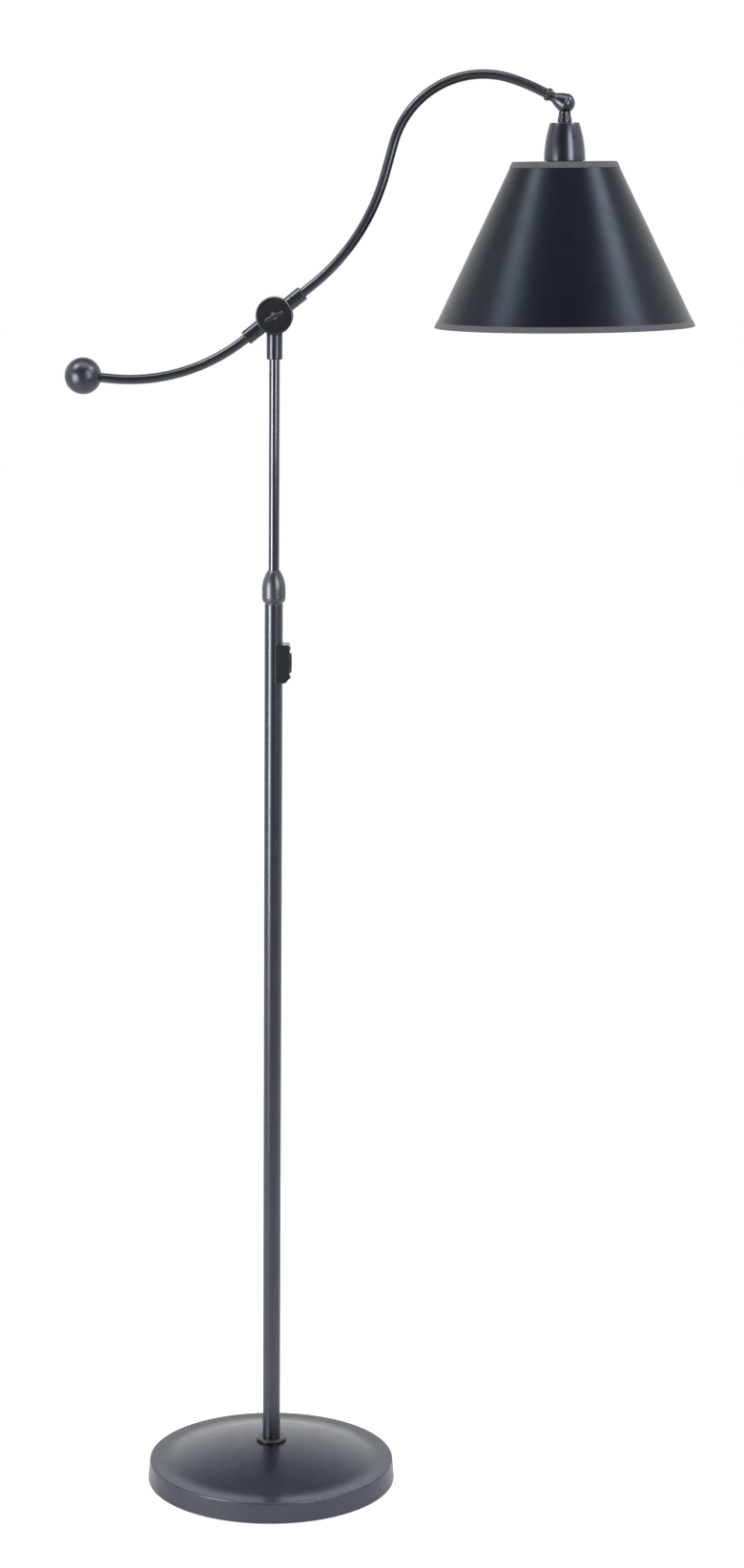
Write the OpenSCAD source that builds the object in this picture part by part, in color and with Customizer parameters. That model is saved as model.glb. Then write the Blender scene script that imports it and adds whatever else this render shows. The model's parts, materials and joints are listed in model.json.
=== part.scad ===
// Pharmacy floor lamp: weighted round base, telescoping pole, counterweighted S-curve arm and drum shade.
// The origin is the centre of the base on the floor, +Z is up and the arm reaches along +X.
// The arm, its counterweight and the shade lie in one upright plane just in front of the pole.

/* [Base] */
// Outside diameter of the base where it meets the floor
base_d = 270; // [262:1:276]
// Height of the flat ring around the rim
rim_h = 23.2; // [22:0.1:25]
// Height that the dome rises above the flat ring
dome_rise = 20.6; // [19:0.1:22]
// Width of the flat ring between rim and dome
ring_w = 20; // [16:1:24]
// Radius of the soft hollow between the ring and the dome
hollow_r = 40; // [30:1:50]

/* [Pole] */
// Outside diameter of the lower pole
pole_d = 19.05; // [19:0.01:19.2]
// Wall of the lower pole
pole_wall = 1.2; // [1.1:0.05:1.25]
// Height of the top of the lower pole
pole_top = 966.7; // [960:0.1:975]
// Outside diameter of the upper rod
rod_d = 11.11; // [11:0.01:11.2]
// Wall of the upper rod
rod_wall = 1; // [0.8:0.1:1.2]
// Height of the lower end of the upper rod
rod_foot = 755; // [745:1:760]
// Outside diameter of the lock collar
collar_d = 24.8; // [24:0.1:26]
// Height of the lock collar
collar_h = 35.2; // [35:0.1:38]

/* [Dimmer] */
// Height of the dimmer dial's axis
dial_z = 904.5; // [900:0.5:908]
// Diameter of the dimmer dial
dial_d = 22; // [20:0.5:24]
// Height of the dimmer housing
housing_h = 40.6; // [40:0.1:44]
// Distance of the housing's outer face from the pole's axis
housing_reach = 16.9; // [16.5:0.1:18]

/* [Arm] */
// Height of the arm's pivot
pivot_z = 1267.1; // [1250:0.1:1290]
// Slope of the sleeves that hold the two tubes
sleeve_slope = 38.8; // [36:0.1:40]
// Distance from the pivot to each sleeve's end
sleeve_reach = 37.5; // [36:0.5:40]
// Diameter of the pivot discs
hub_d = 38.6; // [37:0.1:40]
// Outside diameter of the arm tubes
arm_d = 10; // [9.5:0.1:10.4]
// Wall of the arm tubes
arm_wall = 1; // [0.8:0.1:1.2]
// Radius of the first upward bend of the arm
rise_bend_r = 218; // [200:1:240]
// Radius of the bend over the top of the arm
crest_bend_r = 94.7; // [85:0.1:105]
// Radius of the last gentle bend
end_bend_r = 210; // [180:1:240]
// Radius of the bend of the counterweight's tube
tail_bend_r = 192; // [180:1:210]
// Diameter of the counterweight ball
ball_d = 38.1; // [34:0.1:42]

/* [Head] */
// Angle by which the head leans out from the vertical
head_lean = 1; // [0:0.1:2]
// Diameter of the swivel's ball
knuckle_d = 21; // [20.5:0.1:22]
// Diameter of the socket cup at its open end
cup_d = 42.4; // [42:0.1:44]
// Height of the socket cup
cup_h = 38.3; // [38:0.1:40]
// Diameter of the shade at its top edge
shade_top_d = 107.6; // [104:0.1:112]
// Diameter of the shade at its bottom edge
shade_bottom_d = 269.2; // [255:0.1:280]
// Height of the shade
shade_h = 167.4; // [160:0.1:175]
// Diameter of the bulb
bulb_d = 60; // [56:1:62]

/* [Hidden] */
$fn = 96;

slate = "#33363d";     // satin slate finish of the visible metal
dark = "#16171a";      // blackened small parts
steel = "#8c8f94";     // bare steel inside
brass = "#b8923c";
nylon = "#d8d4c8";
sleeve_white = "#e8e6df";
moulded = "#1b1c1e";   // black mouldings and rubber
tape = "#2a2b2f";
fixed_gap = 0.05;      // radial gap of pieces that are fastened together
run_gap = 0.07;        // radial gap of pieces that turn or slide
overrun = 1;           // how far a cut runs past the face that it opens
band_w = 0.5;          // bands that join the lengths of a bent tube
band_gap = 0.05;
band_rise = 0.02;
lead_r = 1.9;          // twin lead inside rod and arm
thin_lead_r = 1.1;     // lead beside the rod inside the pole

// Base
base_r = base_d / 2;
wall_lean = 2;                                  // the rim wall leans in by this much
rim_r = base_r - wall_lean;
rim_round = 1.8;
cover_wall = 1.2;
dome_r = rim_r - ring_w;
dome_top = rim_h + dome_rise;
dome_sphere_r = (dome_r * dome_r + dome_rise * dome_rise) / (2 * dome_rise);
dome_centre_z = dome_top - dome_sphere_r;
hollow_lean = acos((rim_h + hollow_r - dome_centre_z) / (dome_sphere_r + hollow_r));
hollow_centre_r = (dome_sphere_r + hollow_r) * sin(hollow_lean);
hollow_steps = 12;
skirt_z = 1;                                    // the cover's edge stays clear of the floor
pad_h = 2;
pad_r = base_r - 5;
weight_r = base_r - 9;
weight_h = 14;
boss_r = 24;
recess_r = 20;
recess_h = 9;
channel_w = 9;                                  // way for the cord, from the rim to the recess
nipple_r = 5;
nipple_bore_r = 3.4;
gland_z = 9.5;
gland_bore_r = 3.2;
gland_r = 5;
gland_flange_r = 7;
gland_in = 122;                                 // inner end of the gland, from the axis
flange_h = 2.75;
flange_sink = 0.15;
nut_z = pad_h + 2;
nut_h = 5;
nut_r = 9.8;
lock_washer_r = 12;
lock_washer_h = 1.6;
plug_h = 20;

// Pole
pole_r = pole_d / 2;
pole_bore_r = pole_r - pole_wall;
washer_r = 16.5;
washer_h = 3;
pole_foot = dome_top + washer_h;
rod_r = rod_d / 2;
glide_h = 15;
glide_z = rod_foot + 2;
groove_h = 3;
groove_deep = 0.55;
ferrule_r = 8.4;
ferrule_deep = 26;
ferrule_top = pole_top + 19;
collar_z = pole_top + 0.3;
collet_h = 11;
collar_nose_h = 20;
collar_tip_r = 6.2;
lead_side = 55;                                 // direction of the lead beside the rod, from +X
lead_offset = (rod_r + pole_bore_r) / 2;
lead_bend_r = 30;
lead_bend = acos(1 - lead_offset / (2 * lead_bend_r));
lead_start = 8;
lead_shift_z = 490;                             // the lead moves aside here, below the lowered rod

// Dimmer
housing_near = 1.7;
housing_half_w = 12.2;
housing_round = 4;
foot_cut = 4.4;                                 // the outer edge is cut back more at the bottom than at the top
top_cut = 1.2;
housing_wall = 1.3;
housing_low = dial_z - housing_h / 2;
screw_rise = 15.3;                              // distance of each screw from the dial's axis
screw_r = 1.5;
screw_head_r = 2.4;
lead_exit_z = dial_z - 4;
exit_bend_r = 5;
lead_hole_r = 2.4;
cavity_near = 4.3;                                // hollow inside the housing: wide beside the pole, narrower
cavity_step = 11;                               // towards the outer face
cavity_half_w = 11.2;
cavity_outer_half_w = 9;
cavity_end = 7.3;                               // thickness of the housing's two ends
dimmer_face = 13;                               // front of the dimmer's body
dimmer_depth = 3.2;
dimmer_half_w = 7;
dimmer_half_h = 10;
dimmer_bush_r = 4.6;
dimmer_bush_h = 2.4;
spindle_r = 2.95;
spindle_from = 11.4;

// Pivot, seen from above: the mast's disc lies behind the arm's
arm_y = -8.8;
hub_r = hub_d / 2;
hub_front = -17;
hub_back = -0.6;
disc_front = 0.5;
disc_back = 8.8;
socket_r = 8.25;
socket_z = pivot_z - 45.4;
shoulder_z = pivot_z - hub_r - 0.7;
rod_top = socket_z + 21;
stud_r = 3;
stud_end = -24.5;
sleeve_r = 7.7;
tube_r = arm_d / 2;
tube_bore_r = tube_r - arm_wall;
tube_start = 18;
edge = 1.5;                                     // chamfer of discs and sleeves
setscrew_r = 2;
setscrew_reach = 25;                            // from the pivot, along each sleeve
setscrew_turn = 23;
setscrew_sunk = 0.5;
mast_screw_rise = 12;
lead_from = 9;                                  // the lead's way through the hub, from the pivot
lead_turn = 10;
lead_way_r = 2.4;
mast_way_y = 4;
mast_way_r = 2.2;
wing_r = 1.9;
wing_half_l = 10.3;
wing_slope = 26.5;
wing_from = 2;
knob_boss_r = 4.6;
knob_edge = 1.4;

// The bends and straight lengths of the two tubes: [0, length] is straight, [radius, turn] is a bend
arm_run = [
    [0, sleeve_reach + 12.4 - tube_start], [rise_bend_r, 36], [0, 32.5], [crest_bend_r, -91.7],
    [end_bend_r, -9.4], [0, 7.5]
];
tail_run = [[0, sleeve_reach + 1.5 - tube_start], [tail_bend_r, -44], [0, 16]];
arm_end = run_end(arm_run, polar(tube_start, sleeve_slope), sleeve_slope);
arm_heading = sleeve_slope + run_turn(arm_run);
tail_end = run_end(tail_run, polar(tube_start, sleeve_slope + 180), sleeve_slope + 180);
tail_heading = sleeve_slope + 180 + run_turn(tail_run);
ball_r = ball_d / 2;
ball_reach = 13.5;                              // from the tube's end to the ball's centre

// Swivel
knuckle_r = knuckle_d / 2;
knuckle_reach = 18;                             // from the arm tube's end to the knuckle's centre
knuckle = arm_end + polar(knuckle_reach, arm_heading);
seam = 1.3;                                     // the two halves meet this far past the centre
seam_gap = 0.25;
cone_r = 10.4;
cone_small_r = 5.4;
cone_rim = 1.8;
cone_h = 11;
cone_start = seam - seam_gap - cone_rim - cone_h;
cone_stem_r = 5.1;
cone_stem_h = 4.3;
washer_gap = 0.1;
swivel_washer_r = 4.4;
swivel_washer_h = 0.5;
swivel_nut_h = 1.8;
swivel_stud_r = 3;
end_ring_r = 6.7;                               // ring that closes the arm tube's end
end_ring_edge = 0.75;
collar_back = -2.4;
collar_front = 2.8;
collar_stop = 1.1;
swivel_stud_in = 8;                             // length of the stud inside the arm tube
swivel_bore_r = 1.95;
knuckle_wall = 2;
knuckle_cavity_r = 7.6;
neck_r = 6.8;
neck_from = 4;
waist_r = 6.2;
waist_down = 12.7;
nipple_down = 10.4;                             // top of the head's nipple, below the knuckle's centre
neck_h = 14.6;
locknut_h = 4.8;
locknut_r = 7.55;

// Head, measured down from the knuckle's centre
cup_top = neck_h + locknut_h + 0.3;
cup_bottom = cup_top + cup_h;
cup_r = cup_d / 2;
cup_neck_r = 15;
cup_wall = 1.1;
cup_bulge_r = (cup_h * cup_h + pow(cup_r - cup_neck_r, 2)) / (2 * (cup_r - cup_neck_r));
shade_top = cup_bottom + 0.6;
shade_bottom = shade_top + shade_h;
shade_top_r = shade_top_d / 2;
shade_bottom_r = shade_bottom_d / 2;
trim_t = 0.5;
trim_w = 6;
panel_t = 0.9;
liner_t = 0.5;
skin_gap = 0.03;                                // between the shade's sheet and the tape over it
skin_top = shade_top + trim_t + fixed_gap;
skin_bottom = shade_bottom - trim_t - fixed_gap;
wire_r = 1.4;
socket_cap_r = 12.5;
socket_barrel_r = 15.6;
socket_way_r = 2.2;
socket_thread_r = 16.4;
shoulder_r = 18.6;
fitter_r = 21;
fitter_t = 1.6;
spoke_root = 0.4;                               // the spokes are welded this far into the ring
fitter_z = shade_top + 1.2;
ring_h = 7;
ring_r = 20.4;
shell_r = 13.7;
shell_t = 0.4;
contact_z = cup_top + 19;
bulb_r = bulb_d / 2;
bulb_tip = contact_z + 1.2;
bulb_glass_z = bulb_tip + 27;
bulb_end = bulb_tip + 108;
bulb_neck_r = 13.4;
bulb_neck_end = bulb_glass_z + 10.5;
glass_t = 0.8;
cap_r = 13;
cap_tip_r = 4.5;
cap_tip_h = 4;

function polar(length, heading) = [length * cos(heading), length * sin(heading)];

function bend_end(p, heading, radius, turn) =
    p + sign(turn) * radius * [sin(heading + turn) - sin(heading), cos(heading) - cos(heading + turn)];

// Where a run of bends and straight lengths ends, and how far it turns
function run_end(run, p, heading, i = 0) =
    i == len(run) ? p :
    run[i][0] == 0 ? run_end(run, p + polar(run[i][1], heading), heading, i + 1) :
    run_end(run, bend_end(p, heading, run[i][0], run[i][1]), heading + run[i][1], i + 1);

function run_turn(run, i = 0) =
    i == len(run) ? 0 : (run[i][0] == 0 ? 0 : run[i][1]) + run_turn(run, i + 1);

// Outer radius of the shade's cone at a distance below the knuckle
function shade_r(down) =
    shade_top_r + (shade_bottom_r - shade_top_r) * (down - shade_top) / shade_h;

function cup_r_at(down) = cup_r - cup_bulge_r + sqrt(pow(cup_bulge_r, 2) - pow(cup_bottom - down, 2));

module pipe(r_out, r_in, h) {
    difference() {
        cylinder(r = r_out, h = h);
        if (r_in > 0)
            translate([0, 0, -overrun]) cylinder(r = r_in, h = h + 2 * overrun);
    }
}

// A tube or rod that follows a run, from the origin along +X, turning in the XY plane.
// Its lengths end just short of each other, and a thin band joins each pair.
module tube_run(run, r_out, r_in = 0, i = 0) {
    if (i < len(run)) {
        radius = run[i][0];
        amount = run[i][1];
        if (i > 0) translate([-band_w / 2, 0, 0]) rotate([0, 90, 0])
            pipe(r_out + band_rise, r_in > 0 ? r_in - band_rise : 0, band_w);
        if (radius == 0) {
            translate([band_gap, 0, 0]) rotate([0, 90, 0]) pipe(r_out, r_in, amount - 2 * band_gap);
            translate([amount, 0, 0]) tube_run(run, r_out, r_in, i + 1);
        } else {
            trim_angle = band_gap / radius * 180 / PI;
            first = amount > 0 ? -90 : 90 + amount;
            translate([0, sign(amount) * radius, 0]) {
                rotate([0, 0, first + trim_angle]) rotate_extrude(angle = abs(amount) - 2 * trim_angle)
                    translate([radius, 0]) difference() {
                        circle(r = r_out);
                        if (r_in > 0) circle(r = r_in);
                    }
                rotate([0, 0, amount]) translate([0, -sign(amount) * radius, 0])
                    tube_run(run, r_out, r_in, i + 1);
            }
        }
    }
}

module rounded_rect(low, high, r) {
    translate([low[0] + r, low[1]]) square([high[0] - low[0] - 2 * r, high[1] - low[1]]);
    translate([low[0], low[1] + r]) square([high[0] - low[0], high[1] - low[1] - 2 * r]);
    for (x = [low[0] + r, high[0] - r], y = [low[1] + r, high[1] - r]) translate([x, y]) circle(r = r);
}

// A round disc along +Z with its far edge chamfered
module chamfered_disc(r, h, cut) {
    rotate_extrude() polygon([[0, 0], [r, 0], [r, h - cut], [r - cut, h], [0, h]]);
}

// Places children in the arm's plane at a point and heading, with +X along the heading
module in_arm_plane(p, heading) {
    translate([p[0], arm_y, pivot_z + p[1]]) rotate([0, -heading, 0]) rotate([90, 0, 0]) children();
}

// Places children with +Z along a heading in the arm's plane
module along_arm(p, heading) {
    translate([p[0], arm_y, pivot_z + p[1]]) rotate([0, 90 - heading, 0]) children();
}

// Places children in the head, with the origin at the knuckle's centre
module in_head() {
    translate([knuckle[0], arm_y, pivot_z + knuckle[1]]) rotate([0, -head_lean, 0]) children();
}

// A ring below the knuckle, given as distances down from its centre
module head_ring(r_out, r_in, top, bottom) {
    translate([0, 0, -bottom]) pipe(r_out, r_in, bottom - top);
}

// Base

module cover_outline(inset) {
    flat = rim_h - inset;
    corner = rim_round - (inset > 0 ? 1 : 0);
    corner_r = rim_r - inset - corner;
    polygon([[0, -overrun], [base_r - inset, -overrun], [base_r - inset, 0], [rim_r - inset, flat - corner],
        [corner_r, flat], [0, flat]]);
    translate([corner_r, flat - corner]) circle(r = corner);
    inner_r = (dome_sphere_r - inset) * sin(hollow_lean);
    inner_z = dome_centre_z + (dome_sphere_r - inset) * cos(hollow_lean);
    turns = [for (i = [0 : hollow_steps - 1]) hollow_lean * i / hollow_steps];
    polygon(concat([[0, 0]], [for (a = turns) [hollow_centre_r - (hollow_r + inset) * sin(a),
        rim_h + hollow_r - (hollow_r + inset) * cos(a)]], [[inner_r, inner_z], [0, inner_z]]));
    intersection() {
        translate([0, dome_centre_z]) circle(r = dome_sphere_r - inset);
        square([inner_r, dome_top]);
    }
}

module base_cover() {
    color(slate) difference() {
        rotate_extrude() difference() {
            cover_outline(0);
            cover_outline(cover_wall);
            translate([0, -2 * overrun]) square([base_r + overrun, 2 * overrun + skirt_z]);
        }
        cylinder(r = nipple_r + 0.4, h = dome_top + overrun);
        translate([0, rim_r - ring_w, gland_z]) rotate([-90, 0, 0])
            cylinder(r = gland_r + fixed_gap, h = 2 * ring_w);
    }
}

module floor_pad() {
    color("#202124") cylinder(r = pad_r, h = pad_h);
}

module base_weight() {
    color("#4a4b4d") difference() {
        union() {
            translate([0, 0, pad_h]) cylinder(r = weight_r, h = weight_h);
            cylinder(r = boss_r, h = dome_top - cover_wall - 1);
        }
        translate([0, 0, -overrun]) cylinder(r = recess_r, h = pad_h + recess_h + overrun);
        cylinder(r = boss_r + overrun, h = pad_h);
        cylinder(r = nipple_r + 0.3, h = dome_top);
        translate([-channel_w / 2, 0, 0]) cube([channel_w, base_r, pad_h + recess_h]);
        translate([0, gland_in - 2, gland_z]) rotate([-90, 0, 0]) cylinder(r = gland_r + 1, h = ring_w);
    }
}

module cord_gland() {
    color(moulded) translate([0, 0, gland_z]) rotate([-90, 0, 0]) difference() {
        union() {
            translate([0, 0, gland_in]) cylinder(r = gland_r, h = base_r - gland_in);
            translate([0, 0, base_r - flange_sink]) chamfered_disc(gland_flange_r, flange_h, 1);
            translate([0, 0, base_r - cover_wall - 4]) cylinder(r = gland_flange_r - 1, h = 2);
        }
        translate([0, 0, gland_in - overrun])
            cylinder(r = gland_bore_r, h = base_r - flange_sink + flange_h - gland_in + 2 * overrun);
    }
}

module foot_washer() {
    color(dark) translate([0, 0, dome_top]) difference() {
        chamfered_disc(washer_r, washer_h, 0.6);
        translate([0, 0, -overrun]) cylinder(r = nipple_r + 0.3, h = washer_h + 2 * overrun);
    }
}

module pole_nipple() {
    color(steel) translate([0, 0, pad_h + 1.5]) pipe(nipple_r, nipple_bore_r, pole_foot + 22 - pad_h);
}

module nipple_nut() {
    color(steel) translate([0, 0, nut_z]) difference() {
        cylinder(r = nut_r, h = nut_h, $fn = 6);
        translate([0, 0, -overrun]) cylinder(r = nipple_r + fixed_gap, h = nut_h + 2 * overrun);
    }
}

module nipple_lock_washer() {
    color(steel) translate([0, 0, nut_z + nut_h + 0.2]) pipe(lock_washer_r, nipple_r + 0.2, lock_washer_h);
}

// Pole

module pole_foot_plug() {
    color(steel) translate([0, 0, pole_foot]) pipe(pole_bore_r - fixed_gap, nipple_r + fixed_gap, plug_h);
}

module lower_pole() {
    color(slate) difference() {
        translate([0, 0, pole_foot]) pipe(pole_r, pole_bore_r, pole_top - pole_foot);
        rotate([0, 0, lead_side]) translate([pole_bore_r - 2, 0, lead_exit_z - thin_lead_r]) rotate([0, 90, 0])
            cylinder(r = lead_hole_r, h = 2 * pole_wall + 2);
        for (z = [-screw_rise, screw_rise])
            translate([0, 0, dial_z + z]) rotate([0, 90, 0])
                cylinder(r = screw_r + fixed_gap, h = pole_r + overrun);
    }
}

module pole_ferrule() {
    color(steel) difference() {
        union() {
            translate([0, 0, pole_top - ferrule_deep]) cylinder(r = pole_bore_r - fixed_gap, h = ferrule_deep);
            translate([0, 0, pole_top]) cylinder(r = ferrule_r, h = ferrule_top - pole_top);
        }
        translate([0, 0, pole_top - ferrule_deep - overrun])
            cylinder(r = rod_r + 0.4, h = ferrule_deep + ferrule_top - pole_top + 2 * overrun);
    }
}

module collet() {
    color(nylon) difference() {
        translate([0, 0, ferrule_top + 0.3]) rotate_extrude()
            polygon([[rod_r + run_gap, 0], [8.1, 0], [8.1, 4], [7, collet_h], [rod_r + run_gap, collet_h]]);
        translate([-10, -0.6, ferrule_top]) cube([10, 1.2, collet_h + overrun]);
    }
}

// A bullet-shaped grip nut with its straight belly low down
module lock_collar() {
    belly = collar_d / 2;
    bow_r = (pow(collar_nose_h, 2) + pow(belly - collar_tip_r, 2)) / (2 * (belly - collar_tip_r));
    rises = [for (i = [0 : 16]) collar_nose_h * i / 16];
    nose = [for (h = rises) [belly - bow_r + sqrt(bow_r * bow_r - h * h), collar_h - collar_nose_h + h]];
    color(slate) translate([0, 0, collar_z]) rotate_extrude() difference() {
        polygon(concat([[0, 0], [9.5, 0], [9.7, 1.4], [11.6, 2.9], [belly, 6.7]], nose, [[0, collar_h]]));
        square([ferrule_r + run_gap, 20]);
        polygon([[0, 19], [8.5, 19], [8.5, 23.5], [7.4, 31], [0, 31]]);
        square([rod_r + 0.4, collar_h + overrun]);
    }
}

// Dimmer

module dimmer_housing() {
    top = housing_low + housing_h;
    color(slate) difference() {
        intersection() {
            translate([0, housing_half_w, 0]) rotate([90, 0, 0]) linear_extrude(2 * housing_half_w)
                polygon([[housing_near, housing_low], [housing_reach - foot_cut, housing_low],
                    [housing_reach, housing_low + foot_cut], [housing_reach, top - top_cut],
                    [housing_reach - top_cut, top], [housing_near, top]]);
            translate([0, 0, housing_low]) linear_extrude(housing_h)
                rounded_rect([-housing_reach, -housing_half_w], [housing_reach, housing_half_w], housing_round);
        }
        translate([0, 0, housing_low - overrun]) cylinder(r = pole_r + fixed_gap, h = housing_h + 2 * overrun);
        translate([cavity_near, -cavity_half_w, housing_low + cavity_end])
            cube([cavity_step - cavity_near, 2 * cavity_half_w, housing_h - 2 * cavity_end]);
        translate([cavity_near, -cavity_outer_half_w, housing_low + cavity_end])
            cube([housing_reach - housing_wall - cavity_near, 2 * cavity_outer_half_w,
                housing_h - 2 * cavity_end]);
        translate([0, 0, dial_z]) rotate([0, 90, 0]) cylinder(r = spindle_r + 0.45, h = 20);
        for (z = [-screw_rise, screw_rise])
            translate([0, 0, dial_z + z]) rotate([0, 90, 0]) cylinder(r = screw_r + fixed_gap, h = 20);
    }
}

module dimmer_body() {
    color("#2b2d30") translate([0, 0, dial_z]) difference() {
        union() {
            translate([dimmer_face - dimmer_depth, -dimmer_half_w, -dimmer_half_h])
                cube([dimmer_depth, 2 * dimmer_half_w, 2 * dimmer_half_h]);
            translate([dimmer_face, 0, 0]) rotate([0, 90, 0]) cylinder(r = dimmer_bush_r, h = dimmer_bush_h);
        }
        translate([dimmer_face - 2, 0, 0]) rotate([0, 90, 0]) cylinder(r = spindle_r, h = dimmer_depth + 3);
    }
}

module dimmer_screws() {
    color(steel) for (z = [-screw_rise, screw_rise]) translate([0, 0, dial_z + z]) rotate([0, 90, 0]) {
        translate([0, 0, pole_bore_r + 0.1]) cylinder(r = screw_r, h = housing_reach - pole_bore_r);
        translate([0, 0, housing_reach]) chamfered_disc(screw_head_r, 1, 0.5);
    }
}

module dimmer_dial() {
    color(dark) translate([0, 0, dial_z]) rotate([0, 90, 0]) {
        translate([0, 0, spindle_from])
            cylinder(r = spindle_r - run_gap, h = housing_reach + 0.5 - spindle_from);
        translate([0, 0, housing_reach + 0.3]) rotate_extrude()
            polygon([[0, 0], [dial_d / 2, 0], [dial_d / 2, 0.7], [dial_d / 2 - 3.3, 2.1], [0, 2.1]]);
    }
}

module pole_lead() {
    shift_h = 2 * lead_bend_r * sin(lead_bend);
    straight = lead_exit_z - exit_bend_r - lead_shift_z - shift_h;
    run = [[0, lead_shift_z - lead_start], [lead_bend_r, -lead_bend], [lead_bend_r, lead_bend],
        [0, straight], [exit_bend_r, -90], [0, 0.3]];
    color(sleeve_white) rotate([0, 0, lead_side]) translate([0, 0, lead_start]) rotate([90, 0, 0])
        rotate([0, 0, 90]) tube_run(run, thin_lead_r);
}

// Mast

module glide_bush() {
    color(nylon) difference() {
        translate([0, 0, glide_z]) rotate_extrude() difference() {
            translate([rod_r + run_gap - 1, 0]) square([pole_bore_r - run_gap - rod_r - run_gap + 1, glide_h]);
            square([rod_r + run_gap, 6 + 0.2]);
            translate([0, 6 + groove_h - 0.2]) square([rod_r + run_gap, glide_h]);
            square([rod_r + run_gap - groove_deep, glide_h]);
        }
        rotate([0, 0, lead_side]) translate([4, -thin_lead_r - 0.5, glide_z - overrun])
            cube([6, 2 * thin_lead_r + 1, glide_h + 2 * overrun]);
    }
}

module upper_rod() {
    color(slate) difference() {
        translate([0, 0, rod_foot]) pipe(rod_r, rod_r - rod_wall, rod_top - rod_foot);
        translate([0, 0, glide_z + 6]) pipe(rod_r + overrun, rod_r - groove_deep, groove_h);
    }
}

module mast_socket() {
    color(slate) difference() {
        union() {
            difference() {
                translate([0, 0, socket_z]) cylinder(r = socket_r, h = pivot_z - socket_z);
                translate([-20, disc_front - 20, shoulder_z]) cube([40, 20, 60]);
            }
            translate([0, disc_front, pivot_z]) rotate([-90, 0, 0])
                chamfered_disc(hub_r, disc_back - disc_front, edge);
        }
        translate([0, 0, socket_z - overrun]) cylinder(r = rod_r + fixed_gap, h = rod_top - socket_z + overrun);
        translate([0, mast_way_y, rod_top - overrun])
            cylinder(r = mast_way_r, h = pivot_z - lead_turn + 1 - rod_top + overrun);
        translate([0, 0, pivot_z - lead_turn + 1]) rotate([-90, 0, 0]) cylinder(r = mast_way_r, h = mast_way_y);
        translate([0, 0, pivot_z]) rotate([-90, 0, 0]) cylinder(r = stud_r + fixed_gap, h = 6.5);
        translate([0, 0, socket_z + mast_screw_rise]) rotate([-90, 0, 0])
            cylinder(r = setscrew_r + fixed_gap, h = socket_r + overrun);
    }
}

module mast_setscrew() {
    color(steel) translate([0, rod_r + 0.02, socket_z + mast_screw_rise]) rotate([-90, 0, 0])
        cylinder(r = setscrew_r, h = socket_r - rod_r - 0.5);
}

module mast_lead() {
    color(sleeve_white) translate([0, 0, rod_foot + 1]) cylinder(r = lead_r, h = rod_top - rod_foot - 2);
}

module pivot_stud() {
    color(steel) translate([0, stud_end, pivot_z]) rotate([-90, 0, 0]) cylinder(r = stud_r, h = 6.4 - stud_end);
}

module friction_washer() {
    color("#5a3a28") translate([0, hub_back + 0.15, pivot_z]) rotate([-90, 0, 0])
        pipe(18.3, 14, disc_front - hub_back - 0.15);
}

// Arm

module arm_hub() {
    color(slate) difference() {
        union() {
            translate([0, hub_back, pivot_z]) rotate([90, 0, 0])
                chamfered_disc(hub_r, hub_back - hub_front, edge);
            for (heading = [sleeve_slope, sleeve_slope + 180])
                along_arm([0, 0], heading) chamfered_disc(sleeve_r, sleeve_reach, 0.8);
        }
        translate([0, hub_front - overrun, pivot_z]) rotate([-90, 0, 0]) cylinder(r = stud_r + run_gap, h = 20);
        translate([0, hub_back - 3, pivot_z]) rotate([-90, 0, 0]) pipe(13, 6, 5);
        for (heading = [sleeve_slope, sleeve_slope + 180]) {
            along_arm(polar(tube_start - 1, heading), heading)
                cylinder(r = tube_r + fixed_gap, h = sleeve_reach - tube_start + 1 + overrun);
            at_setscrew(heading) cylinder(r = setscrew_r + fixed_gap, h = sleeve_r + overrun);
        }
        along_arm(polar(lead_from, sleeve_slope), sleeve_slope)
            cylinder(r = lead_way_r, h = tube_start - lead_from);
        translate([polar(lead_turn, sleeve_slope)[0], arm_y, pivot_z + polar(lead_turn, sleeve_slope)[1]])
            rotate([-90, 0, 0]) cylinder(r = lead_way_r, h = hub_back - arm_y + overrun);
    }
}

// The set screws sit towards the front of the sleeves, a little to one side
module at_setscrew(heading) {
    along_arm(polar(setscrew_reach, heading), heading)
        rotate([0, 0, -setscrew_turn]) rotate([90, 0, 0]) children();
}

module tube_setscrews() {
    color(dark) for (heading = [sleeve_slope, sleeve_slope + 180])
        at_setscrew(heading) translate([0, 0, tube_r + band_rise])
            cylinder(r = setscrew_r, h = sleeve_r - tube_r - setscrew_sunk);
}

module arm_tube() {
    color(slate) in_arm_plane(polar(tube_start, sleeve_slope), sleeve_slope)
        tube_run(arm_run, tube_r, tube_bore_r);
}

module counterweight_tube() {
    heading = sleeve_slope + 180;
    color(slate) in_arm_plane(polar(tube_start, heading), heading) tube_run(tail_run, tube_r, tube_bore_r);
}

module counterweight() {
    color(slate) along_arm(tail_end, tail_heading) difference() {
        translate([0, 0, ball_reach]) sphere(r = ball_r);
        translate([0, 0, -20]) cylinder(r = tube_r + fixed_gap, h = 20 + fixed_gap);
    }
}

module arm_lead() {
    run = [[0, tube_start - lead_from], for (length = arm_run) length];
    color(sleeve_white) in_arm_plane(polar(lead_from, sleeve_slope), sleeve_slope) tube_run(run, lead_r);
}

module knob_washer() {
    color(dark) translate([0, hub_front, pivot_z]) rotate([90, 0, 0]) pipe(5.6, stud_r + 0.1, 0.8);
}

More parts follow.
